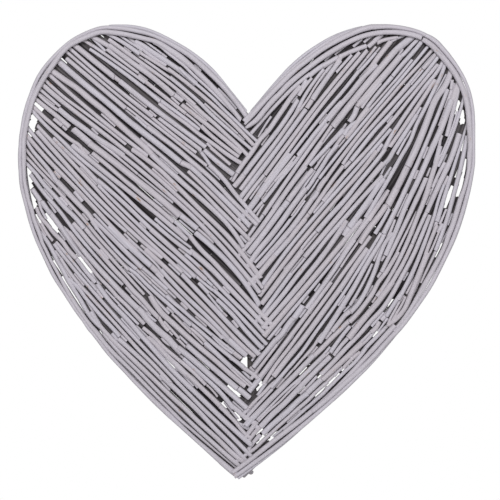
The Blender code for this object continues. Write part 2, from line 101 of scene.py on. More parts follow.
# Twigs that show, in the order in which they are laid: thickness at both ends, then the points
# that the twig passes, from the rim to the seam
TWIGS = [
    (35, 35, 2463, 3849, 2355, 3608),
    (35, 35, 1902, 4775, 1837, 4686),
    (35, 35, -2371, 3624, -2294, 3538),
    (35, 35, -1409, 3374, -1323, 3291),
    (40, 40, -687, 5446, -601, 5363),
    (35, 35, 805, 2408, 731, 2314),
    (35, 35, 448, 1989, 375, 1894),
    (35, 35, -317, 2534, -232, 2449),
    (35, 35, -2038, 4609, -1954, 4524),
    (38, 38, 958, 2568, 888, 2470),
    (40, 40, -1284, 4843, -1193, 4765),
    (50, 50, -867, 2324, -785, 2235),
    (40, 40, -1053, 2261, -960, 2184),
    (45, 45, -89, 3202, -9, 3112),
    (40, 40, -2157, 3492, -2080, 3400),
    (35, 35, 2113, 2719, 2049, 2617),
    (35, 35, -1615, 5681, -1519, 5607),
    (60, 60, -2524, 4049, -2447, 3956),
    (50, 50, -190, 2089, -116, 1993),
    (35, 35, -2455, 3242, -2384, 3142),
    (45, 45, 2246, 4061, 2198, 3947),
    (35, 35, 2406, 4089, 2359, 3974),
    (48, 48, -1565, 5811, -1464, 5729),
    (50, 50, -1773, 1918, -1688, 1819),
    (60, 60, 2566, 3355, 2501, 3241),
    (48, 48, 1504, 5783, 1393, 5680),
    (35, 35, 1048, 4795, 946, 4671),
    (45, 45, -53, 1424, 58, 1309),
    (35, 35, 1285, 2414, 1194, 2282),
    (35, 35, -2667, 3943, -2559, 3825),
    (35, 35, -2481, 3834, -2373, 3715),
    (65, 65, -2261, 3774, -2157, 3651),
    (35, 35, 1651, 2547, 1568, 2408),
    (40, 40, 2378, 4364, 2312, 4213),
    (35, 35, 2698, 3493, 2634, 3340),
    (40, 40, -1699, 1937, -1581, 1815),
    (40, 40, -1028, 2834, -885, 2694),
    (35, 35, -678, 2145, -531, 2009),
    (35, 35, -188, 1026, -39, 892),
    (35, 35, -2266, 2704, -2138, 2548),
    (45, 45, 39, 1477, 188, 1329),
    (50, 50, -2515, 4734, -2366, 4586),
    (35, 35, -413, 2290, -264, 2142),
    (35, 35, -1123, 2044, -974, 1896),
    (35, 35, -1409, 2310, -1261, 2161),
    (43, 43, -521, 4409, -375, 4259),
    (65, 65, 1898, 2252, 1763, 2091),
    (35, 35, 1163, 5643, 1018, 5491),
    (35, 35, -1223, 5668, -1055, 5540),
    (45, 45, 1883, 3050, 1758, 2869),
    (45, 45, 1835, 2834, 1711, 2652),
    (35, 35, -1618, 2770, -1448, 2629),
    (35, 35, 2050, 5649, 1907, 5469),
    (35, 35, 2059, 2418, 1937, 2223),
    (35, 35, 329, 3872, 188, 3677),
    (50, 50, 1186, 2035, 1027, 1854),
    (40, 40, -893, 3031, -707, 2878),
    (35, 35, -1910, 4799, -1731, 4639),
    (40, 40, 1791, 2196, 1634, 2014),
    (35, 35, 1435, 2372, 1269, 2198),
    (45, 45, 2279, 4886, 2162, 4675),
    (65, 65, 1770, 5840, 1592, 5677),
    (35, 35, 2500, 3949, 2390, 3734),
    (35, 35, 700, 917, 528, 746),
    (35, 35, 2618, 4266, 2518, 4045),
    (40, 40, 1088, 4345, 929, 4152),
    (40, 40, -1394, 4484, -1206, 4319),
    (40, 40, -1592, 2523, -1422, 2340),
    (55, 55, 1774, 4405, 1635, 4197),
    (38, 38, -2515, 3007, -2375, 2797),
    (55, 55, 2639, 3983, 2532, 3754),
    (35, 35, 745, 5146, 584, 4941),
    (35, 35, -836, 2068, -646, 1890),
    (53, 53, -926, 2823, -731, 2652),
    (65, 65, -278, 1752, -78, 1586),
    (40, 40, 2219, 2660, 2086, 2435),
    (45, 45, 880, 1307, 694, 1125),
    (50, 50, -2050, 2594, -1890, 2387),
    (40, 40, 1782, 3101, 1664, 2867),
    (35, 35, 1352, 5746, 1151, 5577),
    (60, 60, 114, 1031, -77, 832),
    (35, 35, -1534, 5060, -1315, 4883),
    (35, 35, -296, 1015, -120, 794),
    (43, 43, -2066, 5832, -1855, 5619),
    (35, 35, -2174, 4353, -1946, 4157),
    (35, 35, 583, 1427, 386, 1200),
    (35, 35, -1214, 1402, -1015, 1177),
    (35, 35, 575, 757, 344, 561),
    (35, 35, -121, 3082, 98, 2869),
    (35, 35, -2187, 4095, -1967, 3863),
    (35, 35, -1144, 4225, -905, 4012),
    (35, 35, 2112, 3748, 1970, 3452),
    (40, 40, 1174, 1776, 938, 1531),
    (35, 35, -2811, 3497, -2728, 3345, -2636, 3198),
    (65, 65, 901, 3602, 685, 3327),
    (65, 65, -1840, 5360, -1562, 5146),
    (50, 50, 2714, 5205, 2603, 4872),
    (35, 35, -798, 4943, -526, 4707),
    (35, 35, -1651, 2117, -1409, 1849),
    (45, 45, -382, 5130, -252, 5004, -134, 4867),
    (48, 48, 1223, 1458, 958, 1199),
    (35, 35, -2442, 2835, -2230, 2529),
    (35, 35, -633, 4193, -353, 3936),
    (40, 40, -1208, 3669, -1064, 3544, -913, 3428),
    (35, 35, 440, 1449, 163, 1173),
    (55, 55, 1191, 5558, 954, 5236),
    (35, 35, 2227, 3514, 2050, 3153),
    (43, 43, -756, 3374, -591, 3243, -434, 3103),
    (35, 35, -1243, 4080, -916, 3784),
    (45, 45, -1470, 5729, -1275, 5568, -1061, 5433),
    (32, 39, 1746, 5671, 1491, 5369),
    (35, 42, 1303, 4671, 1198, 4521, 1072, 4387, 944, 4255),
    (41, 45, 1343, 4639, 1153, 4453),
    (33, 33, -793, 2847, -585, 2667, -384, 2479),
    (55, 68, -286, 880, -198, 807, -115, 729, -8, 688, 84, 620),
    (28, 34, -1750, 5802, -1582, 5704, -1442, 5571, -1282, 5461, -1125, 5347, -965, 5239),
    (97, 97, 2791, 5207, 2740, 5091, 2698, 4972, 2635, 4862, 2591, 4743, 2542, 4625),
    (44, 36, 2000, 2750, 1916, 2707, 1850, 2641, 1804, 2558, 1751, 2480, 1697, 2401, 1644, 2323),
    (40, 40, 1891, 4098, 1582, 3631),
    (71, 62, -2449, 3636, -2207, 3392, -1983, 3132, -1753, 2877),
    (52, 63, -2415, 3311, -2279, 3183, -2167, 3032, -2064, 2875),
    (64, 52, 2206, 5641, 1868, 5246, 1542, 4841),
    (86, 77, 818, 4023, 655, 3820, 502, 3609, 345, 3402, 187, 3195),
    (90, 78, -1575, 3145, -1481, 3046, -1401, 2934, -1298, 2842, -1200, 2745, -1096, 2655),
    (40, 40, 1194, 4159, 1094, 4029, 1000, 3895, 895, 3769, 801, 3635, 706, 3501),
    (34, 34, 1582, 4834, 1470, 4699, 1358, 4564, 1251, 4425, 1134, 4296, 1023, 4160, 919, 4020),
    (34, 29, -462, 4846, -34, 4452),
    (72, 68, 1042, 3955, 959, 3851, 900, 3731, 813, 3631, 738, 3521, 663, 3411, 586, 3301),
    (37, 33, -1502, 2416, -1304, 2217),
    (82, 82, 1620, 3675, 1501, 3518, 1377, 3365, 1277, 3196),
    (61, 53, 1648, 4541, 1554, 4427, 1460, 4313, 1371, 4196, 1269, 4089),
    (72, 64, 774, 5251, 727, 5140, 624, 5074, 552, 4975, 478, 4878),
    (33, 40, 2150, 4581, 1972, 4283),
    (51, 43, 1709, 5870, 1616, 5809, 1533, 5736),
    (33, 31, 1822, 5893, 1659, 5764),
    (35, 35, -890, 1883, -779, 1778, -677, 1664, -557, 1569, -443, 1467),
    (38, 38, 980, 2501, 872, 2386, 787, 2254, 692, 2128),
    (87, 74, 2676, 4967, 2600, 4764, 2526, 4561, 2431, 4366, 2348, 4166),
    (40, 40, 2092, 5848, 2015, 5807, 1934, 5775, 1866, 5721, 1806, 5658),
    (29, 29, 248, 3972, 136, 3819),
    (40, 40, -2451, 3706, -2351, 3594),
    (65, 52, 1067, 1214, 1005, 1132, 924, 1068, 851, 996, 770, 933, 694, 863),
    (40, 40, -1921, 3018, -1813, 2898),
    (52, 52, -1117, 1862, -1065, 1803, -997, 1762),
    (96, 86, 2183, 5828, 2089, 5745, 1991, 5665, 1898, 5579, 1814, 5484, 1737, 5383, 1656, 5287),
    (32, 32, -1714, 3087, -1560, 2926, -1406, 2767, -1243, 2615, -1077, 2468, -926, 2304),
    (33, 33, 622, 4232, 245, 3772),
    (29, 36, 286, 4527, 188, 4387),
    (49, 60, -923, 3317, -778, 3225),
    (33, 40, 516, 1923, 313, 1669, 108, 1416),
    (40, 50, 457, 1336, 239, 1094, 15, 858),
    (40, 40, -2664, 3817, -2547, 3679),
    (40, 40, 922, 1745, 800, 1612),
    (40, 33, 1283, 4015, 1148, 3841, 1013, 3667, 870, 3499),
    (33, 35, -1454, 2018, -979, 1558),
    (53, 42, 248, 1269, 135, 1104),
    (38, 31, -950, 2151, -574, 1776),
    (70, 70, -2813, 3800, -2687, 3627, -2553, 3462, -2425, 3291, -2306, 3113, -2179, 2941),
    (27, 27, -2778, 5108, -2525, 4911),
    (62, 59, 1566, 5690, 1240, 5559, 929, 5395),
    (34, 34, 748, 3423, 648, 3274, 520, 3147, 402, 3012, 299, 2866, 178, 2733, 62, 2596),
    (73, 91, 1327, 1623, 1154, 1462, 972, 1311, 800, 1147, 623, 990, 449, 829),
    (31, 31, 892, 4053, 483, 3459),
    (75, 80, -367, 2974, -158, 2755),
    (88, 97, 2294, 4528, 2070, 4038, 1825, 3558),
    (38, 33, -481, 1919, -347, 1776, -191, 1657),
    (47, 44, -2039, 2711, -1991, 2626, -1923, 2555),
    (39, 34, -944, 1465, -854, 1396, -779, 1311, -701, 1229),
    (38, 39, 1252, 1472, 1193, 1420, 1144, 1359),
    (47, 49, 1059, 1281, 953, 1197, 852, 1104, 756, 1006, 651, 918, 551, 825),
    (32, 32, 1043, 3274, 869, 3065, 684, 2865, 513, 2653, 355, 2431),
    (48, 42, -2164, 5779, -1802, 5541, -1453, 5284),
    (50, 42, -1053, 3110, -450, 2541),
    (30, 36, -615, 2564, -333, 2311, -72, 2037),
    (31, 31, 272, 4601, 33, 4261, -222, 3934),
    (63, 76, 1486, 3393, 1271, 3141, 1062, 2883, 850, 2627),
    (35, 34, 1089, 1742, 969, 1606, 844, 1475, 717, 1345, 606, 1202),
    (56, 45, 274, 4597, 114, 4371, -47, 4146, -192, 3910),
    (68, 67, 1239, 5566, 1138, 5386, 1016, 5219, 898, 5048, 783, 4875),
    (40, 48, 2552, 4515, 2524, 4426, 2513, 4333, 2491, 4243),
    (49, 44, 2694, 5246, 2673, 5116),
    (36, 32, 2195, 4730, 2132, 4639, 2071, 4546, 2010, 4453, 1950, 4359, 1890, 4266, 1838, 4168,
     1788, 4069, 1739, 3969, 1672, 3882, 1605, 3794),
    (86, 74, -1417, 4597, -1283, 4493, -1149, 4389, -1014, 4285, -887, 4174, -735, 4098, -611,
     3984),
    (32, 32, 2680, 3341, 2551, 3107),
    (58, 72, 1098, 5486, 993, 5432, 898, 5364, 808, 5290),
    (45, 37, -919, 1853, -796, 1728),
    (35, 43, -945, 1696, -319, 1120),
    (49, 49, -2533, 4730, -2425, 4641),
    (65, 82, 1792, 3946, 1355, 3331),
    (81, 66, -1406, 5434, -1133, 5192, -845, 4968),
    (36, 35, -992, 5016, -887, 4922),
    (34, 32, -1218, 3674, -1108, 3585),
    (42, 34, -1815, 5627, -1308, 5236),
    (58, 71, 1331, 5602, 1207, 5533),
    (34, 34, -2110, 2352, -1906, 2004),
    (47, 57, 1978, 5806, 1885, 5786, 1793, 5767, 1707, 5727),
    (46, 38, -1556, 2978, -1250, 2676, -934, 2383),
    (27, 33, -2138, 5310, -1955, 5163, -1771, 5018, -1600, 4857, -1419, 4709, -1244, 4552, -1055,
     4413),
    (33, 33, 889, 1757, 691, 1545, 499, 1327),
    (66, 66, -274, 1062, -202, 974, -114, 903, -30, 826, 66, 767, 138, 680),
    (34, 34, 646, 4461, 138, 3754),
    (42, 42, 1688, 1973, 1584, 1842, 1461, 1730, 1346, 1608),
    (39, 47, 1725, 2051, 1551, 1866, 1367, 1690, 1194, 1504, 1006, 1333),
    (65, 65, -2052, 2201, -1809, 1842),
    (40, 41, 1499, 3415, 1392, 3270),
    (37, 31, 1672, 5652, 1451, 5381),
    (68, 76, 593, 1902, 448, 1719, 310, 1530, 170, 1343, 25, 1161),
    (46, 56, -633, 2580, -508, 2451),
    (40, 41, -1516, 2429, -1388, 2302),
    (63, 52, 350, 886, 237, 756, 112, 636, 13, 495),
    (60, 60, 1733, 2075, 1692, 1994, 1624, 1935),
    (95, 78, 553, 4279, 390, 4056, 224, 3835, 70, 3606, -113, 3399),
    (65, 75, 604, 1356, 290, 1039, -15, 714),
    (68, 68, -2046, 5818, -1836, 5699, -1636, 5567, -1441, 5424, -1245, 5284),
    (33, 40, -2612, 3654, -2511, 3501),
    (71, 63, -2684, 3638, -2576, 3484),
    (37, 36, 1689, 5677, 1571, 5529),
    (36, 36, 376, 4571, 205, 4324, 17, 4091, -173, 3858),
    (45, 38, 1167, 2121, 1074, 2008, 990, 1889, 892, 1781, 798, 1668, 702, 1558, 607, 1446),
    (32, 39, 220, 3614, 158, 3517, 100, 3417, 31, 3325),
    (84, 97, 735, 2285, 616, 2115, 491, 1949),
    (37, 36, 916, 1357, 787, 1217),
    (31, 31, 2614, 5321, 2548, 5196, 2478, 5074, 2425, 4943, 2368, 4814),
    (66, 71, -2817, 3813, -2707, 3655),
    (54, 44, 594, 4159, 469, 4005, 365, 3837, 237, 3685, 109, 3533, -13, 3377),
    (67, 72, 388, 4562, 277, 4417, 163, 4276, 52, 4131, -53, 3984, -170, 3844),
    (41, 49, -1468, 4753, -1234, 4549),
    (89, 92, -2275, 4595, -2031, 4388),
    (62, 50, -1627, 2642, -1553, 2554, -1476, 2470, -1394, 2389, -1317, 2305, -1251, 2212, -1165,
     2137, -1105, 2040, -1029, 1954),
    (50, 57, -759, 4451, -640, 4344, -542, 4216, -448, 4086, -333, 3975, -231, 3850, -134, 3722,
     -32, 3598),
    (33, 33, 588, 1366, 266, 1044, -51, 717),
    (39, 48, -2417, 3275, -2308, 3121, -2193, 2973, -2073, 2828, -1955, 2681, -1826, 2544, -1714,
     2394),
    (43, 36, -2759, 3741, -2726, 3661, -2711, 3575, -2673, 3497, -2630, 3421),
    (70, 57, 129, 767, -42, 538),
    (34, 32, 160, 3850, 38, 3680),
    (78, 82, -126, 1206, 35, 1070),
    (35, 35, -781, 1479, -680, 1385, -583, 1287, -478, 1198, -391, 1091),
    (36, 38, -1090, 2078, -887, 1852),
    (31, 31, 1619, 3369, 1422, 3070, 1222, 2773, 1018, 2479, 826, 2178),
    (59, 73, 1176, 5531, 995, 5421),
    (77, 73, 1516, 5010, 1452, 4907, 1411, 4792, 1343, 4691),
    (36, 30, 1844, 2118, 1718, 1942),
    (32, 35, 2613, 3548, 2525, 3348),
    (45, 55, 1322, 4581, 1215, 4452, 1117, 4317, 1021, 4180),
    (34, 42, 1011, 4252, 887, 4070),
    (47, 53, 1986, 2143, 1896, 2062, 1806, 1983, 1724, 1894, 1638, 1809),
    (35, 35, 1851, 2496, 1701, 2323, 1542, 2159, 1379, 1998),
    (30, 30, -1404, 5797, -1119, 5589),
    (37, 34, 1563, 5178, 1433, 5017, 1288, 4870, 1201, 4682, 1073, 4520, 945, 4356, 810, 4199, 694,
     4027, 571, 3860),
    (34, 42, -1763, 3051, -1643, 2937, -1526, 2820, -1399, 2715, -1282, 2598, -1161, 2485, -1037,
     2375, -908, 2273, -782, 2167, -660, 2057, -534, 1950),
    (48, 48, 1402, 5014, 1111, 4640, 846, 4247, 566, 3865),
    (37, 37, -1356, 5225, -1214, 5123, -1067, 5027, -938, 4910, -800, 4802, -664, 4692, -538, 4571,
     -403, 4459, -266, 4351, -124, 4248),
    (35, 39, 2080, 4471, 1968, 4266),
    (59, 60, -223, 1606, -126, 1543, -40, 1466, 57, 1402, 148, 1330),
    (33, 41, 1998, 2339, 1943, 2231, 1883, 2125, 1840, 2012),
    (97, 97, 1959, 3816, 1851, 3609),
    (35, 43, 2079, 2403, 2028, 2293, 1964, 2189, 1907, 2082),
    (70, 61, 2529, 4374, 2464, 4145),
    (97, 80, -1804, 3319, -1538, 3058, -1263, 2806),
    (68, 71, 757, 3404, 655, 3289, 563, 3166, 461, 3050, 360, 2935, 263, 2815, 170, 2693, 78,
     2570),
    (35, 42, 2446, 5574, 2182, 5271, 1928, 4960, 1662, 4658),
    (36, 29, 1027, 5343, 891, 5148, 767, 4945, 616, 4762, 484, 4564),
    (63, 51, 175, 591, 83, 489, 6, 374),
    (58, 47, -2726, 4815, -2568, 4673, -2407, 4533, -2235, 4409, -2070, 4274),
    (71, 69, 2510, 4244, 2436, 4039, 2372, 3830, 2301, 3623, 2220, 3420, 2149, 3214),
    (33, 40, 1592, 3499, 1453, 3268, 1283, 3056, 1112, 2845, 942, 2634, 775, 2420),
    (43, 52, -736, 1984, -594, 1860, -466, 1720, -324, 1595, -190, 1461, -51, 1332),
    (35, 38, 1201, 3457, 1045, 3276, 892, 3093, 753, 2899, 601, 2715, 456, 2524, 311, 2334, 150,
     2158),
    (39, 32, 2465, 5566, 2148, 5179),
    (31, 38, -1858, 2492, -1448, 2061),
    (73, 71, 2679, 4979, 2591, 4743),
    (36, 32, -893, 3406, -701, 3243),
    (36, 30, 1072, 4130, 954, 3967, 844, 3797, 713, 3644, 592, 3482),
    (61, 50, -1479, 3821, -1212, 3598, -940, 3381, -694, 3134),
    (43, 36, 819, 1447, 643, 1283, 462, 1125, 293, 953, 123, 784),
    (44, 36, -1838, 3139, -1696, 2993, -1555, 2846, -1399, 2714, -1254, 2571),
    (37, 31, 220, 1761, 136, 1662, 61, 1556),
    (82, 75, -1409, 3903, -1030, 3599, -654, 3293),
    (48, 59, 2513, 5642, 2416, 5509, 2304, 5387),
    (65, 61, 2166, 2694, 2061, 2505, 1940, 2327, 1826, 2144),
    (44, 54, -2768, 5094, -2661, 4982, -2539, 4886, -2409, 4801, -2281, 4713, -2155, 4623, -2033,
     4527, -1901, 4446),
    (36, 36, 1867, 5722, 1674, 5495, 1482, 5268),
    (32, 36, -1708, 5858, -1543, 5739, -1371, 5631),
    (37, 35, -1256, 2626, -1048, 2438),
    (45, 38, 1280, 2279, 1165, 2146, 1071, 1999, 950, 1875, 855, 1728, 738, 1598),
    (46, 38, -1922, 2742, -1749, 2565, -1574, 2390, -1383, 2232, -1192, 2074),
    (54, 67, -2332, 3253, -2069, 2908),
    (46, 43, -2701, 3367, -2631, 3245, -2547, 3132),
    (63, 51, 1768, 2403, 1641, 2249, 1513, 2094, 1394, 1934, 1259, 1787, 1137, 1628),
    (39, 48, 850, 5266, 758, 5154, 676, 5035),
    (51, 62, 2271, 5805, 2164, 5697, 2061, 5585, 1949, 5484, 1853, 5366, 1741, 5264, 1644, 5146,
     1546, 5031),
    (52, 63, 1799, 1974, 1722, 1894, 1643, 1816, 1565, 1737, 1500, 1647, 1433, 1559),
    (41, 34, -2482, 3096, -1974, 2487),
    (56, 49, 2575, 3638, 2529, 3502, 2484, 3365, 2446, 3227, 2389, 3095, 2341, 2959, 2301, 2821,
     2255, 2685),
    (36, 44, 2106, 3270, 2009, 3075, 1916, 2880, 1808, 2691),
    (35, 38, 1369, 3794, 1254, 3642, 1123, 3502, 1017, 3343, 896, 3194, 774, 3047, 649, 2902, 523,
     2758, 413, 2601, 287, 2458),
    (52, 42, 1136, 3520, 1009, 3365, 868, 3220, 741, 3064, 618, 2904, 488, 2751),
    (69, 73, 1841, 3774, 1633, 3472, 1413, 3179, 1217, 2870, 1011, 2566),
    (71, 71, 366, 2942, 296, 2858, 226, 2773, 153, 2690, 72, 2617, 0, 2536),
    (32, 38, 760, 3661, 693, 3567, 626, 3473, 551, 3386, 482, 3294),
    (39, 41, 1372, 5569, 1172, 5345),
    (37, 33, -513, 2431, -320, 2199),
    (50, 54, 1481, 1677, 1366, 1578, 1263, 1466),
    (28, 33, 1254, 4913, 675, 4166),
    (50, 41, -2748, 5149, -2456, 4895),
    (90, 73, -325, 1906, -10, 1627),
    (42, 35, -2084, 3741, -1877, 3524, -1656, 3321, -1436, 3116),
    (42, 52, -1392, 3075, -1135, 2844, -886, 2604),
    (43, 53, 1689, 5600, 1555, 5444, 1413, 5294, 1285, 5132, 1158, 4970, 1018, 4819),
    (37, 30, 319, 4767, 229, 4634, 149, 4495),
    (65, 80, -1296, 1865, -1195, 1779, -1107, 1679, -1012, 1586, -913, 1497, -820, 1401, -716,
     1319, -628, 1221),
    (73, 60, 1565, 2461, 1479, 2355, 1396, 2247, 1288, 2163, 1202, 2057, 1117, 1949),
    (31, 37, 883, 5139, 794, 4990, 695, 4847, 591, 4709, 483, 4572, 382, 4431, 282, 4289),
    (32, 32, 2523, 3273, 2434, 3052, 2334, 2836, 2256, 2612, 2159, 2395),
    (45, 36, 2507, 3056, 2393, 2818, 2281, 2579),
    (69, 74, 1881, 5743, 1727, 5550, 1585, 5349, 1432, 5156, 1275, 4966),
    (34, 29, 781, 3735, 582, 3459),
    (48, 45, -477, 4354, -219, 4132),
    (36, 38, -983, 2175, -734, 1929),
    (30, 30, -555, 1762, -347, 1587, -150, 1399, 52, 1217),
    (60, 50, 612, 4055, 313, 3617, 10, 3182),
    (47, 42, -1192, 3123, -1024, 2971, -851, 2826, -679, 2678, -508, 2530, -326, 2397, -166, 2237,
     -12, 2071),
    (72, 86, 1910, 2599, 1725, 2345, 1523, 2105, 1331, 1857),
    (42, 35, -977, 2337, -711, 2113, -443, 1893, -170, 1678),
    (81, 71, 613, 2126, 526, 2021, 453, 1906, 355, 1812, 270, 1706, 181, 1604, 96, 1497),
    (43, 36, -535, 1782, -332, 1595, -122, 1418, 82, 1233),
    (35, 33, -2127, 5319, -1991, 5203, -1854, 5088, -1716, 4973, -1569, 4872, -1428, 4762, -1290,
     4648, -1148, 4539, -1017, 4419, -870, 4320, -748, 4191),
    (56, 60, 2490, 3338, 2420, 3173, 2356, 3005, 2307, 2833, 2240, 2667, 2175, 2500, 2112, 2332),
    (52, 43, 2591, 4160, 2504, 3998, 2429, 3830),
    (65, 58, 768, 3427, 540, 3136),
    (42, 38, -1682, 2300, -1422, 2036),
    (41, 34, 2165, 5507, 1901, 5191, 1630, 4880),
    (70, 63, 979, 4430, 349, 3553),
    (84, 97, 2010, 5553, 1876, 5391, 1738, 5232, 1606, 5069, 1464, 4914),
    (37, 45, -1310, 1880, -1174, 1753, -1049, 1617),
    (35, 35, 1792, 3585, 1676, 3427, 1556, 3273, 1449, 3110, 1337, 2950, 1229, 2787),
    (47, 58, 1868, 3557, 1777, 3388, 1677, 3225),
    (43, 54, -1745, 5803, -1582, 5708, -1422, 5608, -1260, 5509, -1100, 5408, -938, 5311, -789,
     5193, -639, 5078),
    (53, 59, -2696, 3433, -2577, 3292, -2451, 3159, -2339, 3013, -2219, 2873, -2107, 2727, -1984,
     2589),
    (55, 45, 609, 1550, 517, 1443, 427, 1333, 317, 1244, 220, 1141, 116, 1043, 19, 940),
    (42, 51, -1342, 5503, -1099, 5330, -859, 5153, -632, 4959),
    (55, 59, 1829, 5199, 1732, 5087, 1640, 4970, 1554, 4850, 1481, 4722, 1357, 4643, 1272, 4523),
    (34, 37, 1753, 5195, 1621, 5038, 1501, 4872),
    (48, 48, -1876, 3265, -1672, 3070, -1472, 2870, -1258, 2686, -1049, 2495),
    (49, 61, -1880, 5873, -1636, 5739, -1407, 5579),
    (32, 37, 632, 4243, 360, 3911),
    (51, 57, 1348, 2009, 1213, 1843, 1090, 1666),
    (58, 66, 2399, 3471, 2293, 3205, 2179, 2943, 2041, 2693, 1906, 2441),
    (44, 54, 2582, 3875, 2505, 3659, 2446, 3438, 2372, 3221, 2287, 3009, 2206, 2794),
    (48, 40, -2427, 3298, -2306, 3117, -2171, 2947),
    (49, 49, 651, 4559, 477, 4330, 307, 4098, 124, 3876, -48, 3646),
    (57, 60, 1012, 1637, 824, 1452, 637, 1265),
    (68, 64, 376, 1843, 83, 1475),
    (31, 37, 1922, 5216, 1612, 4855, 1303, 4494),
    (48, 44, 1852, 3798, 1772, 3663, 1684, 3532, 1601, 3399),
    (45, 54, 1940, 3410, 1852, 3189, 1750, 2975, 1676, 2749, 1583, 2531, 1468, 2323),
    (71, 64, -552, 1800, -202, 1472),
    (61, 61, 1752, 5273, 1592, 5087, 1441, 4893),
    (77, 62, 1586, 4869, 1482, 4743, 1393, 4606, 1291, 4479),
    (61, 77, -560, 4327, -375, 4157, -177, 4004),
    (42, 34, 673, 1319, 486, 1149, 309, 968),
    (51, 42, -1834, 5641, -1424, 5332),
    (65, 81, 859, 4066, 744, 3937, 640, 3798, 536, 3660),
    (42, 38, -2504, 3119, -2333, 2921, -2170, 2717),
    (40, 49, 333, 1190, 147, 993, -35, 793),
    (54, 68, -2806, 5022, -2647, 4890, -2485, 4762, -2329, 4625),
    (41, 50, 396, 1775, 56, 1331),
    (59, 59, 2317, 5783, 2186, 5614, 2042, 5456, 1906, 5291),
    (31, 35, -1980, 4450, -1477, 4044, -977, 3635),
    (58, 70, -785, 1387, -675, 1282, -565, 1177, -455, 1072, -349, 964, -242, 857),
    (32, 33, -557, 4933, -121, 4535),
    (63, 51, -357, 966, -251, 862, -148, 756, -57, 640, 55, 543),
    (45, 37, -2443, 4835, -2269, 4704, -2092, 4578, -1939, 4424, -1769, 4288, -1601, 4150, -1436,
     4009),
    (66, 69, 1614, 2383, 1511, 2266, 1411, 2147, 1295, 2044, 1186, 1932, 1075, 1822, 966, 1710,
     855, 1601),
    (79, 73, 1819, 3596, 1707, 3430, 1585, 3271, 1477, 3103),
    (45, 36, -2927, 4365, -2717, 4114, -2489, 3878, -2262, 3642),
    (46, 52, 1008, 5383, 913, 5265, 824, 5140, 743, 5011, 675, 4875, 604, 4741, 518, 4615),
    (39, 48, 1645, 2831, 1509, 2559, 1355, 2296),
    (46, 39, -1206, 3427, -974, 3226, -733, 3038),
    (58, 50, -2827, 4917, -2743, 4835, -2659, 4753, -2570, 4674, -2481, 4596, -2391, 4520, -2299,
     4447, -2198, 4385, -2131, 4289, -2066, 4192),
    (56, 48, -1374, 5147, -994, 4876, -623, 4592),
    (59, 71, 1224, 5494, 1125, 5372, 1035, 5243, 943, 5114, 857, 4982),
    (40, 33, -2008, 3488, -1786, 3258, -1559, 3033),
    (56, 48, -603, 4642, -448, 4495, -280, 4362, -108, 4234),
    (68, 55, 1260, 4591, 824, 4120),
    (63, 60, 583, 2709, 107, 2059),
    (52, 64, -2910, 4471, -2818, 4323, -2703, 4190, -2590, 4056, -2491, 3912, -2369, 3786, -2251,
     3656),
    (37, 31, -1608, 3226, -1469, 3090, -1327, 2957, -1188, 2821, -1066, 2671, -923, 2539),
    (63, 77, 1696, 5443, 1597, 5346, 1499, 5248, 1414, 5138, 1327, 5030, 1234, 4926, 1143, 4821,
     1056, 4713),
    (63, 78, -1466, 5748, -1345, 5680, -1231, 5600, -1113, 5526, -998, 5448, -884, 5369, -775,
     5284, -671, 5192),
    (78, 78, -2282, 5717, -1740, 5277),
    (56, 46, -1425, 5294, -799, 4799),
    (79, 64, -2489, 3912, -2348, 3764, -2208, 3615, -2066, 3467, -1962, 3291),
    (47, 58, -1158, 4743, -605, 4323),
    (60, 55, 1189, 4392, 1081, 4263, 991, 4119, 898, 3978, 805, 3837, 691, 3713, 591, 3577),
    (83, 67, 1507, 1796, 988, 1314),
    (78, 94, -1646, 2454, -1557, 2369, -1469, 2283, -1378, 2199, -1302, 2102, -1217, 2013, -1127,
     1929, -1032, 1852, -952, 1758, -865, 1671),
    (67, 83, 1747, 3892, 1547, 3598, 1339, 3311),
    (37, 43, -1526, 2706, -1021, 2178),
    (71, 76, -2465, 4860, -2303, 4727, -2132, 4606, -1966, 4478, -1788, 4367, -1618, 4245),
    (44, 54, 855, 4488, 753, 4346, 654, 4202, 544, 4066, 431, 3932, 326, 3792, 216, 3655),
    (80, 74, 463, 3564, 245, 3264, 19, 2971),
    (53, 44, 572, 3415, 344, 3124, 98, 2847),
    (43, 48, -1486, 4950, -1081, 4614, -666, 4289),
    (58, 62, 1265, 4117, 1150, 3967, 1039, 3812, 931, 3655, 821, 3500),
    (54, 66, 2226, 4788, 2130, 4635, 2032, 4485, 1934, 4334, 1840, 4180, 1705, 4064, 1612, 3910),
    (31, 34, 700, 1297, 559, 1167, 427, 1028, 282, 902, 149, 764),
    (68, 55, -1687, 1849, -1397, 1588, -1119, 1315),
    (78, 77, 792, 1137, 668, 1037, 557, 925, 437, 821, 319, 716, 207, 604),
    (49, 60, -2538, 4481, -2330, 4274, -2115, 4074, -1914, 3860),
    (58, 47, -1057, 2415, -961, 2325, -859, 2240, -761, 2152, -660, 2067, -557, 1985, -458, 1898),
    (72, 79, -793, 1767, -129, 1200),
    (46, 43, -2022, 5692, -1677, 5452, -1337, 5205),
    (51, 62, -2763, 3571, -2704, 3442, -2610, 3335, -2521, 3223, -2419, 3125, -2336, 3009, -2239,
     2905),
    (42, 51, -2037, 3387, -1901, 3220, -1760, 3057, -1610, 2901, -1448, 2760),
    (55, 69, 1909, 3234, 1808, 3100, 1742, 2943, 1690, 2781, 1625, 2624, 1554, 2469, 1466, 2324,
     1351, 2198),
    (50, 62, -955, 2231, -652, 1980, -353, 1723, -44, 1478),
    (78, 73, 721, 3007, 612, 2869, 504, 2729, 400, 2588, 295, 2445, 189, 2305),
    (58, 71, -396, 2366, -187, 2159, 2, 1934, 205, 1721),
    (50, 62, -2349, 2635, -2222, 2523, -2121, 2387, -2011, 2258, -1900, 2129, -1782, 2007, -1669,
     1881),
    (53, 66, -2010, 3415, -1375, 2776),
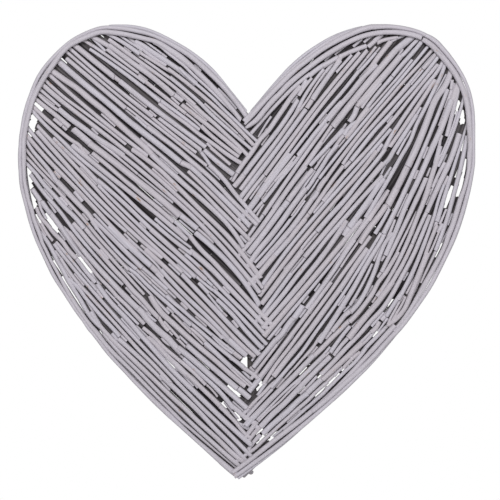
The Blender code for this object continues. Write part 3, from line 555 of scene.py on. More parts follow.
    (54, 68, 1235, 4953, 1114, 4819, 1005, 4676, 890, 4538, 782, 4393, 671, 4251),
    (51, 63, -834, 1593, -603, 1385, -375, 1174, -177, 934),
    (56, 59, -1958, 3929, -1644, 3655, -1343, 3366, -1039, 3082),
    (67, 55, -1260, 3284, -898, 2962, -544, 2630),
    (65, 53, -910, 5102, -750, 4959, -593, 4812, -429, 4672, -272, 4525, -113, 4379, 34, 4222),
    (54, 54, -432, 2486, -194, 2262, 28, 2022, 250, 1782),
    (65, 53, -491, 4123, -313, 3950, -160, 3755, 1, 3565, 165, 3378),
    (47, 59, -2031, 2774, -1925, 2645, -1808, 2525, -1697, 2400, -1576, 2286, -1462, 2163, -1347,
     2042),
    (58, 66, -2361, 5519, -1591, 4870),
    (60, 58, -861, 4921, -463, 4607, -78, 4278),
    (54, 67, -2909, 4158, -2775, 4020, -2656, 3868, -2524, 3728, -2398, 3582, -2260, 3447, -2136,
     3300),
    (80, 64, 2368, 2978, 2264, 2721, 2162, 2464, 2049, 2211, 1846, 2025),
    (58, 55, 2462, 5238, 2172, 4799, 1874, 4365),
    (60, 75, -1808, 5697, -1527, 5484, -1241, 5279, -973, 5050),
    (66, 77, -2153, 3022, -1922, 2753, -1679, 2495, -1429, 2245),
    (54, 44, -2061, 3218, -1351, 2428),
    (48, 59, -1757, 2970, -1623, 2823, -1463, 2706, -1321, 2566, -1176, 2430, -1025, 2300, -881,
     2163, -734, 2029),
    (74, 68, 871, 1633, 621, 1372, 365, 1115, 113, 855),
    (62, 72, -730, 4092, -571, 3943, -416, 3789, -261, 3636, -109, 3480, 40, 3321),
    (50, 61, 1408, 3143, 1282, 2965, 1162, 2782, 1037, 2603, 908, 2427, 781, 2249),
    (57, 55, -774, 4047, -509, 3793, -251, 3531, -2, 3262),
    (55, 53, 827, 5323, 612, 5147, 414, 4949, 225, 4744, 45, 4531),
    (54, 53, -1364, 1995, -1222, 1876, -1094, 1742, -954, 1622, -812, 1504, -674, 1380, -544,
     1248),
    (57, 68, 1979, 2988, 1899, 2851, 1816, 2714, 1718, 2588, 1644, 2447, 1553, 2316, 1456, 2190,
     1347, 2074),
    (51, 63, 2287, 3368, 2174, 3106, 2049, 2849, 1906, 2602, 1743, 2367, 1555, 2152),
    (50, 62, -2062, 5648, -1592, 5319, -1142, 4962),
    (64, 52, 2654, 4139, 2523, 3883, 2406, 3620, 2282, 3360, 2165, 3097),
    (69, 69, 852, 3679, 631, 3365, 386, 3070, 135, 2780),
    (76, 78, 770, 3818, 614, 3614, 465, 3404, 310, 3199, 144, 3001, 3, 2787),
    (50, 61, 2448, 3447, 2315, 3077, 2164, 2713, 1981, 2365),
    (79, 78, -906, 1736, -673, 1546, -451, 1344, -227, 1143, -5, 941),
    (64, 69, 669, 4989, 452, 4649, 205, 4328, -39, 4007),
    (56, 45, -1186, 2713, -1021, 2533, -848, 2361, -674, 2189, -490, 2029, -320, 1854),
    (54, 54, 888, 1138, 781, 1029, 664, 930, 552, 827, 437, 726, 327, 621, 215, 517, 105, 411, -20,
     325, -143, 235),
    (60, 62, -2741, 3265, -2642, 3151, -2562, 3022, -2495, 2885, -2419, 2752, -2352, 2616, -2270,
     2487, -2188, 2359, -2113, 2226, -2025, 2102, -1914, 1998),
    (52, 42, 1562, 1729, 1430, 1556, 1273, 1406, 1119, 1251, 964, 1098, 799, 955, 637, 809, 479,
     660),
    (57, 57, -1129, 2757, -841, 2447, -536, 2153, -239, 1851),
    (75, 72, -678, 3239, -356, 2958, -71, 2641, 166, 2286),
    (69, 77, 1092, 1613, 937, 1464, 787, 1310, 638, 1155, 489, 1000, 330, 856, 182, 699),
    (84, 90, 1953, 5636, 1533, 5140, 1127, 4631),
    (78, 63, -753, 3010, -473, 2768, -218, 2499, 38, 2230, 287, 1957),
    (54, 67, 685, 4863, 435, 4504, 174, 4153, -85, 3802),
    (54, 67, 2597, 5544, 2494, 5353, 2357, 5183, 2229, 5007, 2104, 4828, 1983, 4647, 1866, 4463,
     1765, 4271, 1632, 4099),
    (78, 97, 2692, 5400, 2605, 5180, 2471, 4984, 2382, 4764, 2297, 4542, 2205, 4324, 2106, 4108),
    (49, 61, -1154, 4934, -979, 4798, -799, 4668, -625, 4530, -443, 4403, -265, 4270, -79, 4151),
    (47, 40, -2680, 5276, -2424, 5037, -2144, 4827, -1864, 4616, -1590, 4398),
    (69, 56, 2349, 3956, 2160, 3543, 1965, 3134, 1763, 2728),
    (62, 51, 2124, 5185, 1900, 4929, 1675, 4673, 1453, 4414, 1255, 4138),
    (48, 58, -2340, 5671, -1803, 5207, -1245, 4768),
    (69, 56, -1135, 1377, -895, 1150, -658, 920, -431, 680, -195, 450, 26, 205),
    (49, 45, -888, 5397, -743, 5254, -587, 5123, -434, 4988, -290, 4843, -144, 4702, 0, 4558, 150,
     4420),
    (71, 59, 767, 4113, 541, 3819, 333, 3513, 115, 3214, -119, 2927),
    (67, 64, 695, 5146, 581, 5015, 483, 4871, 384, 4728, 285, 4584, 167, 4457, 73, 4310, -30, 4170,
     -129, 4026),
    (59, 70, 1812, 4337, 1642, 4114, 1462, 3899, 1290, 3679, 1101, 3471, 918, 3259),
    (65, 62, -2031, 4286, -1814, 4107, -1601, 3924, -1386, 3744, -1169, 3565, -959, 3380),
    (73, 65, -1666, 5225, -1388, 5004, -1108, 4786, -823, 4575, -541, 4360),
    (59, 48, -1815, 5774, -1428, 5496, -1042, 5217, -676, 4911),
    (68, 62, 772, 4858, 347, 4276, -87, 3702),
    (56, 46, -1007, 5274, -822, 5120, -641, 4962, -472, 4792, -292, 4631, -111, 4474, 72, 4318),
    (52, 64, -811, 2958, -590, 2759, -384, 2543, -172, 2333, 39, 2123, 239, 1902),
    (48, 59, 1053, 4664, 629, 4075, 218, 3476),
    (43, 51, 1211, 2966, 906, 2587, 590, 2217, 281, 1841),
    (62, 68, -857, 2694, -520, 2342, -185, 1989, 157, 1643),
    (66, 67, -753, 3204, -609, 3024, -445, 2862, -289, 2693, -130, 2525, 24, 2354, 179, 2184, 342,
     2020),
    (52, 56, -1037, 5387, -640, 5076, -261, 4743, 90, 4380),
    (89, 82, -2063, 4409, -1760, 4182, -1464, 3945, -1167, 3709, -883, 3459),
    (56, 69, 1103, 2594, 634, 1970, 165, 1347),
    (67, 54, 2383, 3815, 2234, 3452, 2088, 3088, 1914, 2736, 1700, 2407),
    (74, 67, 1787, 4153, 751, 2920),
    (61, 76, 1860, 3373, 1775, 3164, 1657, 2969, 1541, 2774, 1430, 2575, 1313, 2380, 1191, 2187,
     1067, 1997, 944, 1805),
    (72, 74, 1295, 3168, 1030, 2844, 762, 2524, 491, 2205, 223, 1885),
    (60, 61, -2279, 3366, -2167, 3242, -2060, 3112, -1945, 2990, -1834, 2864, -1723, 2739, -1607,
     2618, -1499, 2490, -1379, 2373, -1272, 2245, -1156, 2125),
    (57, 57, -2634, 5346, -1983, 4780, -1304, 4248),
    (84, 78, -2599, 5395, -2414, 5259, -2224, 5129, -2049, 4980, -1870, 4837, -1701, 4681, -1530,
     4528, -1357, 4376, -1195, 4215, -1027, 4058),
    (73, 59, -1249, 4259, -997, 4028, -740, 3801, -483, 3574, -241, 3332, -45, 3053),
    (82, 67, -1268, 2415, -1137, 2209, -957, 2038, -774, 1871, -587, 1708, -397, 1549, -213, 1383,
     -23, 1226),
    (47, 57, -1945, 3856, -1698, 3608, -1447, 3363, -1192, 3123, -929, 2892, -675, 2652),
    (54, 44, -2890, 4628, -2583, 4266, -2256, 3922, -1931, 3576, -1582, 3254),
    (75, 67, 1309, 3398, 1185, 3211, 1059, 3026, 924, 2847, 783, 2673, 639, 2501, 495, 2330, 348,
     2160, 199, 1994),
    (50, 61, 2548, 5602, 2388, 5392, 2218, 5188, 2043, 4990, 1872, 4789, 1691, 4596, 1524, 4391,
     1360, 4183),
    (56, 45, -2841, 4006, -2655, 3751, -2450, 3512, -2262, 3259, -2061, 3016, -1853, 2779, -1630,
     2555),
    (77, 62, 2532, 4586, 2388, 4258, 2244, 3930, 2089, 3607, 1954, 3274, 1811, 2945),
    (48, 57, -1305, 4403, -1070, 4204, -840, 3998, -608, 3795, -393, 3574, -174, 3356, 42, 3136),
    (68, 56, -1301, 4624, -1107, 4480, -916, 4333, -733, 4178, -550, 4024, -375, 3858, -212, 3681,
     -41, 3511, 130, 3342),
    (43, 49, -2926, 4265, -2727, 4052, -2525, 3840, -2328, 3624, -2134, 3406, -1948, 3181, -1750,
     2965, -1551, 2752),
    (67, 66, -2292, 4390, -1917, 4076, -1536, 3768, -1154, 3463, -784, 3144),
    (64, 59, -1333, 3021, -1036, 2750, -751, 2466, -471, 2178, -193, 1887, 100, 1612),
    (51, 58, 1474, 5603, 1041, 5083, 634, 4542, 233, 3998),
    (86, 82, -2505, 5514, -2186, 5235, -1858, 4966, -1535, 4690, -1200, 4430, -870, 4163),
    (57, 69, 2626, 5108, 2237, 4153, 1788, 3227),
    (58, 54, -2913, 4544, -2632, 4221, -2332, 3913, -2035, 3602, -1741, 3289, -1434, 2989),
    (71, 76, 1580, 3034, 1409, 2791, 1245, 2542, 1070, 2303, 895, 2061, 718, 1822, 530, 1592, 348,
     1357),
    (56, 46, 1464, 5357, 1245, 5082, 1016, 4816, 794, 4542, 580, 4263, 366, 3984, 157, 3701),
    (64, 66, 2230, 3060, 2128, 2848, 2015, 2643, 1903, 2438, 1772, 2244, 1613, 2073, 1462, 1894,
     1298, 1726, 1140, 1553, 976, 1387),
    (46, 56, -2445, 2907, -2271, 2647, -2063, 2414, -1852, 2182, -1641, 1950, -1432, 1718, -1209,
     1498, -997, 1268),
    (60, 49, 1580, 5635, 1297, 5298, 1017, 4958, 753, 4606, 497, 4248, 235, 3894),
    (46, 46, 2409, 5730, 2116, 5374, 1816, 5024, 1518, 4672, 1226, 4315, 944, 3950),
    (57, 59, 2619, 5506, 2538, 5288, 2437, 5079, 2334, 4869, 2227, 4662, 2141, 4445, 2023, 4243,
     1910, 4040, 1794, 3837, 1673, 3637, 1552, 3437),
    (49, 57, 2502, 5448, 2205, 5086, 1913, 4720, 1609, 4363, 1293, 4017, 999, 3653),
    (61, 51, -2757, 4570, -2446, 4219, -2133, 3870, -1806, 3535, -1467, 3211, -1110, 2907),
    (50, 62, -1885, 1915, -1648, 1640, -1388, 1386, -1133, 1126, -871, 874, -604, 627, -333, 385,
     -58, 146),
    (48, 46, -2387, 5630, -1932, 5239, -1467, 4859, -995, 4489, -528, 4115),
    (48, 55, 2470, 5681, 2268, 5453, 2061, 5228, 1862, 4995, 1661, 4764, 1470, 4525, 1282, 4284,
     1100, 4038, 926, 3786),
    (63, 67, -1502, 4328, -1308, 4190, -1119, 4042, -949, 3875, -779, 3707, -610, 3537, -436, 3373,
     -266, 3205, -111, 3024, 37, 2836, 178, 2644),
    (57, 66, 1773, 3987, 1543, 3734, 1318, 3477, 1092, 3220, 880, 2952, 666, 2686, 458, 2414, 239,
     2154),
    (60, 66, 1701, 4310, 1448, 3989, 1179, 3682, 913, 3371, 654, 3055, 405, 2731, 161, 2404),
    (63, 65, -1942, 2032, -1763, 1833, -1569, 1649, -1376, 1463, -1183, 1278, -991, 1091, -792,
     912, -599, 726, -398, 549, -206, 363, -2, 193),
    (42, 52, 1758, 3238, 1596, 2972, 1433, 2707, 1266, 2445, 1089, 2189, 904, 1939, 725, 1685, 523,
     1449, 319, 1214),
    (56, 50, 1617, 3195, 1441, 2952, 1264, 2711, 1093, 2464, 915, 2223, 736, 1983, 559, 1741, 376,
     1504, 212, 1254),
    (51, 62, 1885, 4597, 1451, 4096, 1015, 3597, 588, 3090, 200, 2552),
    (51, 53, -2746, 4639, -2438, 4311, -2129, 3983, -1825, 3650, -1505, 3334, -1177, 3025, -847,
     2719),
    (53, 55, -2840, 4870, -2650, 4658, -2441, 4464, -2237, 4264, -2019, 4079, -1799, 3897, -1591,
     3701, -1387, 3501, -1172, 3314, -952, 3131, -723, 2962),
    (54, 66, -1857, 4424, -1486, 4132, -1126, 3828, -776, 3512, -445, 3176, -131, 2824, 165, 2457),
    (66, 68, -1955, 2562, -1785, 2327, -1583, 2115, -1390, 1897, -1197, 1680, -1004, 1461, -798,
     1255, -585, 1055, -374, 853, -161, 654, 58, 460),
    (51, 62, -2530, 3092, -2228, 2714, -1911, 2349, -1590, 1988, -1259, 1635, -924, 1286, -585,
     941, -235, 607, 100, 259),
    (64, 52, -2715, 5211, -2412, 4952, -2097, 4708, -1782, 4463, -1470, 4214, -1168, 3955, -872,
     3687, -581, 3414, -302, 3129, -39, 2830, 206, 2515),
    (60, 60, 2788, 5190, 2616, 4503),
    (29, 29, 2757, 4827, 2636, 4471, 2478, 4130),
    (41, 45, 2851, 5049, 2707, 4571, 2504, 4113),
    (80, 63, 2783, 4533, 2660, 4183, 2505, 3847, 2354, 3508),
    (69, 61, 2892, 4511, 2812, 4128, 2715, 3749, 2608, 3372, 2473, 3005),
    (35, 69, 2895, 4690, 2794, 4363, 2691, 4038, 2587, 3712, 2490, 3385),
]

# Places where the wall shows through the twigs: centre, direction in degrees, length and width
OPENINGS = [
    (-2487, 2796, 121, 280, 15),
    (-2343, 2526, 117, 320, 20),
    (-2204, 2289, 120, 230, 15),
    (-2562, 3365, 120, 263, 60),
    (-2137, 2827, 129, 302, 50),
    (-2867, 3967, 95, 282, 54),
    (4, 1525, 147, 136, 102),
    (-2817, 4675, 77, 212, 63),
    (2646, 3713, 69, 260, 50),
    (2800, 3842, 72, 237, 47),
    (2854, 4050, 78, 291, 38),
    (1116, 1295, 45, 241, 38),
    (-2812, 3662, 105, 187, 49),
    (-170, 1157, 134, 162, 51),
    (2834, 4761, 84, 157, 52),
    (-2736, 4898, 128, 107, 67),
    (2536, 3046, 64, 240, 31),
    (-1011, 1516, 134, 223, 31),
    (-2746, 3414, 119, 121, 48),
    (2851, 4405, 73, 164, 34),
    (178, 1228, 50, 124, 41),
    (2766, 4886, 78, 158, 30),
    (195, 532, 46, 162, 26),
    (342, 565, 48, 126, 32),
    (-118, 824, 116, 97, 41),
    (-2300, 2460, 122, 245, 18),
    (945, 1129, 58, 87, 37),
    (1704, 1907, 48, 93, 34),
    (-303, 973, 136, 63, 35),
    (725, 1175, 46, 105, 21),
    (974, 1358, 52, 73, 28),
    (1289, 1458, 42, 69, 29),
    (158, 621, 48, 83, 24),
    (-2866, 4504, 73, 77, 26),
    (2764, 4035, 72, 100, 19),
    (-1880, 1888, 122, 124, 18),
    (737, 1423, 39, 90, 18),
    (1883, 2318, 57, 63, 18),
]

# The rim's rods: CAD node, half, tone, then rows of distance along the outline from the cleft,
# distance inwards to the rod's middle, thickness and height above the wall
RODS = [
    ("left_rim_outer_rod", "left", 0.10, [
        (30, 32, 46, 167), (140, 42, 46, 173), (290, 46, 46, 176), (780, 23, 46, 176),
        (960, 19, 46, 176), (1090, 20, 46, 176), (1330, 30, 46, 176), (1680, 24, 46, 176),
        (1910, 24, 46, 176), (2070, 27, 46, 176), (2290, 25, 46, 176),
    ]),
    ("left_rim_outer_rod", "left", 0.55, [
        (-60, 63, 64, 158), (10, 59, 68, 172), (280, 68, 66, 196), (590, 74, 71, 196),
        (700, 74, 73, 196), (1060, 65, 70, 196), (1390, 72, 64, 196), (1580, 68, 55, 196),
        (1920, 71, 62, 196), (2020, 68, 61, 196), (2120, 61, 58, 196), (2210, 50, 54, 196),
        (2320, 30, 50, 196), (2380, 25, 48, 196), (2650, 34, 47, 199), (3000, 41, 47, 204),
        (3500, 32, 47, 204), (3720, 37, 47, 204), (4050, 33, 47, 204), (4200, 35, 47, 204),
        (4310, 31, 47, 204), (4430, 32, 47, 204), (4550, 27, 47, 204), (4730, 26, 47, 204),
        (4930, 18, 47, 204), (5220, 26, 47, 204), (5430, 21, 47, 204), (5740, 20, 47, 204),
        (5920, 26, 48, 204), (6290, 25, 53, 204), (6450, 27, 48, 204), (6810, 22, 47, 204),
        (6950, 24, 47, 204), (7040, 18, 47, 204), (7160, 24, 47, 204), (7520, 17, 47, 204),
        (7820, 24, 48, 204), (8000, 23, 52, 204), (8290, 30, 66, 204), (8490, 37, 67, 204),
        (9080, 40, 52, 204), (9460, 32, 68, 198), (9680, 23, 79, 180), (9840, 24, 84, 180),
    ]),
    ("left_rim_front_rod", "left", 0.75, [
        (-30, 150, 56, 175), (400, 175, 66, 205), (580, 179, 70, 203), (750, 177, 69, 204),
        (950, 166, 70, 204), (1160, 157, 85, 196), (1370, 150, 77, 200), (1590, 131, 66, 206),
        (1630, 132, 63, 207), (1730, 142, 61, 208), (1820, 147, 63, 207), (1920, 148, 66, 206),
        (1990, 143, 65, 206), (2150, 125, 67, 205), (2230, 111, 68, 204), (2330, 89, 65, 206),
        (2380, 82, 64, 207), (2630, 85, 66, 206), (2730, 81, 65, 206), (2880, 69, 67, 205),
        (2990, 73, 71, 203), (3210, 98, 71, 203), (3370, 100, 67, 205), (3520, 98, 67, 205),
        (3720, 86, 71, 203), (4000, 84, 68, 205), (4350, 73, 65, 206), (4640, 79, 63, 207),
        (4760, 71, 53, 209), (4940, 66, 54, 209), (5040, 70, 60, 208), (5170, 69, 53, 209),
        (5300, 78, 59, 209), (5430, 73, 52, 209), (5570, 81, 57, 209), (5660, 82, 54, 209),
        (5750, 76, 47, 209), (5880, 83, 46, 209), (6020, 82, 46, 209), (6250, 84, 46, 209),
        (6590, 66, 52, 209), (7050, 62, 58, 209), (7170, 66, 69, 204), (7320, 62, 58, 206),
        (7510, 69, 54, 204), (7750, 87, 49, 202), (7890, 94, 49, 201), (8290, 99, 47, 197),
        (8800, 93, 44, 184), (8970, 94, 42, 150), (9150, 92, 38, 125), (9400, 90, 36, 115),
        (9840, 80, 50, 110),
    ]),
    ("left_rim_arch_rod", "left", 0.60, [
        (-30, 161, 38, 170), (50, 167, 38, 177), (320, 208, 38, 192), (680, 231, 38, 193),
        (790, 234, 40, 193), (960, 226, 40, 194), (1050, 217, 38, 194), (1150, 216, 38, 194),
        (1250, 209, 38, 194), (1380, 194, 38, 194), (1500, 166, 38, 194), (1580, 155, 38, 194),
        (1620, 152, 38, 194),
    ]),
    ("right_rim_outer_rod", "right", 0.05, [
        (20, 28, 44, 175), (230, 44, 44, 175), (330, 46, 44, 175), (580, 40, 44, 175),
        (730, 31, 44, 175), (1090, 28, 44, 175), (1330, 35, 44, 175), (1450, 35, 44, 175),
        (1920, 20, 44, 175),
    ]),
    ("right_rim_outer_rod", "right", 0.50, [
        (-140, 13, 51, 204), (-80, 19, 47, 204), (110, 51, 44, 200), (260, 59, 44, 195),
        (450, 64, 44, 194), (540, 60, 44, 194), (600, 60, 44, 194), (1110, 69, 44, 194),
        (1280, 68, 44, 194), (1420, 64, 44, 194), (1660, 46, 44, 194), (1800, 42, 44, 194),
        (1890, 32, 44, 194), (1990, 25, 44, 194),
    ]),
    ("right_rim_front_rod", "right", 0.70, [
        (-170, 44, 30, 209), (-100, 51, 51, 209), (370, 87, 73, 202), (610, 98, 74, 202),
        (930, 102, 70, 203), (1110, 109, 66, 205), (1250, 111, 65, 206), (1420, 108, 66, 205),
        (1490, 103, 69, 204), (1630, 87, 71, 203), (1940, 43, 76, 201), (1990, 38, 76, 200),
        (2190, 31, 63, 207), (2420, 28, 56, 209), (2590, 28, 50, 209), (2790, 33, 50, 209),
    ]),
    ("right_rim_arch_rod", "right", 0.80, [
        (-200, 80, 30, 208), (-150, 99, 54, 207), (-70, 128, 65, 206), (180, 155, 69, 204),
        (320, 164, 72, 203), (450, 176, 68, 204), (580, 177, 70, 203), (810, 188, 66, 205),
        (1110, 197, 68, 204), (1290, 198, 67, 205), (1400, 195, 68, 204), (1560, 181, 67, 205),
        (1910, 134, 65, 206), (2290, 101, 65, 206), (2470, 92, 66, 205), (2760, 87, 63, 207),
    ]),
    ("right_rim_outer_rod", "right", 0.60, [
        (2740, 38, 49, 202), (2930, 30, 65, 202), (3080, 38, 63, 202), (3150, 38, 61, 202),
        (3520, 22, 46, 202), (3760, 3, 44, 202), (3900, -2, 44, 202), (4020, 0, 44, 202),
        (4160, 12, 44, 202), (4230, 15, 44, 202), (4640, 19, 44, 202), (5210, 25, 61, 202),
        (5780, 21, 66, 202), (6000, 21, 60, 202), (6490, 11, 58, 203), (6630, 11, 54, 205),
        (7150, 28, 68, 204), (7290, 39, 65, 206), (7720, 51, 70, 203), (8010, 67, 71, 203),
        (8360, 80, 67, 205), (8710, 95, 57, 210),
    ]),
    ("right_rim_front_rod", "right", 0.85, [
        (2760, 99, 62, 207), (2920, 102, 73, 202), (3040, 110, 76, 201), (3200, 110, 77, 200),
        (3430, 96, 78, 200), (3610, 83, 76, 200), (3730, 70, 76, 200), (4020, 61, 75, 201),
        (4090, 62, 76, 200), (4180, 68, 81, 198), (4290, 67, 75, 201), (4500, 71, 73, 202),
        (4600, 77, 74, 202), (4700, 72, 63, 207), (4840, 74, 56, 209), (5060, 85, 58, 209),
        (5190, 98, 67, 205), (5400, 99, 72, 203), (5590, 95, 72, 203), (5700, 96, 72, 203),
        (5790, 88, 63, 207), (5860, 85, 60, 208), (6080, 86, 66, 206), (6330, 82, 69, 204),
        (6550, 74, 68, 205), (6750, 67, 51, 200), (6980, 57, 50, 194), (7200, 60, 50, 188),
    ]),
    ("right_rim_lower_rod", "right", 0.80, [
        (7110, 99, 67, 204), (7530, 114, 64, 193), (7730, 113, 58, 188), (8030, 104, 59, 186),
        (8340, 97, 57, 186), (8700, 103, 61, 198), (9060, 118, 64, 206), (9310, 125, 62, 207),
        (9450, 126, 63, 207), (9660, 121, 60, 208), (10050, 120, 58, 209),
    ]),
    ("right_rim_outer_rod", "right", 0.45, [
        (7160, 24, 55, 178), (7470, 21, 57, 180), (7790, 17, 59, 182), (8000, 17, 59, 183),
        (8570, 30, 54, 191), (9060, 41, 64, 203), (9580, 53, 54, 209), (10040, 58, 54, 209),
    ]),
    ("right_rim_outer_rod", "right", 0.12, [
        (8850, 33, 43, 165), (9010, 24, 43, 167), (9220, 19, 46, 170), (9600, 17, 47, 176),
        (10020, 12, 44, 176),
    ]),
    ("left_rim_back_rod", "left", 0.20, [
        (0, 54, 74, 40), (4500, 54, 74, 40), (8900, 54, 74, 40), (9350, 63, 74, 40),
        (9600, 82, 72, 40), (9960, 150, 58, 40),
    ]),
    ("right_rim_back_rod", "right", 0.20, [
        (0, 54, 74, 40), (4500, 54, 74, 40), (9000, 54, 74, 40), (9450, 36, 64, 40),
        (9970, -36, 44, 46),
    ]),
]

# Heights above the wall
BED = 0.0082  # what the twigs lie on
LOOSE = 0.0122  # up to here they lie loose, and further up they are pressed together
PACKING = 1.30  # more presses them together more gently
UNDER_RODS = 0.0181  # the ceiling of the twigs near the rim
CEILING = 0.0236  # the heart's face
CEILING_FLAT = 0.0120  # how far from the outline the ceiling starts to rise
CEILING_SLOPE = 0.25

# Frame of the photograph, in metres at the face of the fans
VIEW_WIDTH = 0.655
VIEW_DEPTH = 0.0180
VIEW_CENTRE = (0.0039, 0.3013)
LENS = 100.0
SENSOR = 36.0

# Lights: name, place, size and power
LIGHTS = (
    ("key_light", (-0.5, -2.2, 0.9), 0.9, 32.0),
    ("fill_light", (0.7, -2.2, 0.3), 1.1, 20.3),
    ("back_light", (0.6, 2.0, 0.9), 1.2, 26.0),
)
ROOM_LIGHT = 0.09
WHITE = (1.0, 1.0, 1.0, 1.0)
FLOOR_PAINT = (0.86, 0.86, 0.86, 1.0)
FLOOR_SIZE = 6.0
FLOOR_DROP = 0.75  # below the heart's tip

# Fineness: steps between two points of a table, and distances along the willow
OUTLINE_STEPS = 12
TWIG_STEPS = 24
ROD_STEPS = 6
SHARE_STEPS = 200
TRACE_STEP = 0.0015
LAY_STEP = 0.0020
FEWEST_PLACES = 8
ROD_STEP = 0.0035
ROD_RUN = 0.006  # over which a rod's direction is taken
STICK_PLACES = 60

# Distance between a tube's rings, and its sides
BACK_RINGS = (0.009, 8)
FRONT_RINGS = (0.005, 12)
FEWEST_RINGS = 5
ROD_SIDES = 18
STICK_SIDES = 12

# The pile
PILE_CELL = 0.0006
PILE_MARGIN = 0.02
MARK_STEP = PILE_CELL * 0.9
LANES = 9  # lines along a twig on which it may come to rest
PRESSED = 0.75  # how far out they lie, as a share of its radius
EDGE = 0.98  # how far out a twig is marked on the pile
LIMPNESS = (0.8, 1.8)  # how much twigs sag over the square of a distance

# The back layer
BACK_INSET = 0.0044  # from the outline
SEAM_REACH = 0.009  # how far it goes on past the seam
ROW_STAGGER = 0.9  # how much of its first twig a row may lack
WIDEST_GAP = 0.002  # between two twigs of a row
ROW_KNOTS = 0.03  # distance between the points that a twig passes
ROW_DRIFT = 0.0006  # how far it lies off its row
ROW_SKEW = 0.0008  # how far its ends turn out of the row
BACK_THICKNESS = (0.90, 1.06)  # over the mean thickness
SHORTEST_PART = 0.018
SHORTEST_STUB = 0.004  # the least that an opening leaves of a twig
OPENING_MARGIN = 0.0018  # around an opening
OPENING_POWER = 4  # an ellipse has 2, and more makes it fuller

# Growth: distances between buds, how much a bud swells the willow and over what length
TWIG_BUDS = (0.025, 0.070)
TWIG_SWELLING = (0.01, 0.07)
TWIG_BUD = 0.0035
ROD_BUDS = 0.07
ROD_BUD_PLACES = (0.02, 0.98)
ROD_SWELLING = (0.01, 0.05)
ROD_BUD = 0.005
ROD_WAVES = 6
WAVE_LENGTHS = (0.05, 0.22)
ROD_CROOK = 0.00008
TURNS = 6.28

# A tube's cross-section, as shares of its radius, and how it turns along the tube
TWIG_LOBES = 0.035
ROD_LOBES = 0.012
THIRD_LOBE = 0.6
THIRD_TWIST = 1.7
SWIRL = 6.0

# A tube's ends: slopes of the cut, how many are cut aslant, and the rounded edge
SLANTED = 0.55
SQUARE = 0.12
SLANT_CHANCE = 0.4
STUB_SLANT = 0.9
BEVEL = 0.10
BEVEL_RISE = 0.7
SHARP_EDGE = 50  # degrees
BARK_SHIFT = 5  # how far the bark's pattern may lie shifted on a twig

# Room that a rod leaves inside the frame's box, and how well a stick fills its node
ROD_ROOM = 1.025
BOX_GAP = 0.0001
STICK_FILL = 0.97

RIM_SEED = 21
FRAME_SEED = 5


def scaled(shares):
    """Bench points in metres, from shares of the half width and of the height."""
    return np.array([(x * HEART_WIDTH / 2, y * HEART_HEIGHT) for x, y in shares])


STICK_HEIGHT = scaled(LEFT_OUTLINE)[0][1] - CROSS_STICK_DROP


# Settings


class WillowSizes(bpy.types.PropertyGroup):
    """Thickness and laying of the willow"""

    left_rows: bpy.props.IntProperty(
        name="Left rows", description="Rows of twigs in the left fan's back layer",
        default=132, min=10,
    )
    right_rows: bpy.props.IntProperty(
        name="Right rows", description="Rows of twigs in the right fan's back layer",
        default=124, min=10,
    )
    under_twig: bpy.props.FloatProperty(
        name="Under twig", description="Mean thickness of a twig in the back layer",
        default=0.0049, unit="LENGTH",
    )
    shortest: bpy.props.FloatProperty(
        name="Shortest", description="Length of the shortest twigs of the back layer",
        default=0.110, unit="LENGTH",
    )
    longest: bpy.props.FloatProperty(
        name="Longest", description="Length of the longest twigs of the back layer",
        default=0.260, unit="LENGTH",
    )
    crook: bpy.props.FloatProperty(
        name="Crook", description="Sideways step at a bud", default=0.00010, unit="LENGTH"
    )
    seed: bpy.props.IntProperty(
        name="Seed", description="Picks another laying of the twigs", default=7
    )


class WillowColours(bpy.types.PropertyGroup):
    """Paint and wood"""

    paint: bpy.props.FloatVectorProperty(
        name="Paint", description="Chalky grey paint", subtype="COLOR", size=3,
        default=(0.580, 0.555, 0.620),
    )
    warm_paint: bpy.props.FloatVectorProperty(
        name="Thin paint", description="Paint where the bark warms it", subtype="COLOR", size=3,
        default=(0.560, 0.515, 0.555),
    )
    # Near-black bark; it also paints the shade on the twigs' sides and deep between them, and
    # colours specks and cracks
    bark: bpy.props.FloatVectorProperty(
        name="Bark", description="Bark that the spray didn't reach", subtype="COLOR", size=3,
        default=(0.010, 0.007, 0.009),
    )
    # Grey bark under a mist of paint; it also paints the grey shade on the lower twigs
    misted_shade: bpy.props.FloatVectorProperty(
        name="Mist", description="Bark that the spray barely reached", subtype="COLOR", size=3,
        default=(0.098, 0.089, 0.093),
    )
    rear: bpy.props.FloatVectorProperty(
        name="Rear", description="Dry bark on the side to the wall", subtype="COLOR", size=3,
        default=(0.235, 0.200, 0.180),
    )
    rubbed: bpy.props.FloatVectorProperty(
        name="Rubbed", description="Wood where the paint is rubbed through", subtype="COLOR",
        size=3, default=(0.40, 0.25, 0.17),
    )
    # Very dark grey for the sticks of the back frame
    stick: bpy.props.FloatVectorProperty(
        name="Stick", description="Thin dark paint on the back frame", subtype="COLOR", size=3,
        default=(0.075, 0.068, 0.068),
    )


# Curves on the bench


def smooth_path(points, steps):
    """A smooth curve through the points, with tangents weighted by the distances between them."""
    chords = np.linalg.norm(np.diff(points, axis=0), axis=1)
    slopes = np.diff(points, axis=0) / chords[:, None]
    before, after = chords[:-1, None], chords[1:, None]
    inner = (slopes[:-1] * after + slopes[1:] * before) / (before + after)
    tangents = np.vstack([2 * slopes[0] - inner[0], inner, 2 * slopes[-1] - inner[-1]])
    t = np.linspace(0, 1, steps, endpoint=False)[:, None]
    pieces = []
    for i, chord in enumerate(chords):
        pieces.append(
            (2 * t**3 - 3 * t**2 + 1) * points[i]
            + (t**3 - 2 * t**2 + t) * chord * tangents[i]
            + (3 * t**2 - 2 * t**3) * points[i + 1]
            + (t**3 - t**2) * chord * tangents[i + 1]
        )
    return np.vstack(pieces + [points[-1:]])


def path_length(path):
    """Distance along the path of each of its points."""
    return np.concatenate([[0.0], np.cumsum(np.linalg.norm(np.diff(path, axis=0), axis=1))])


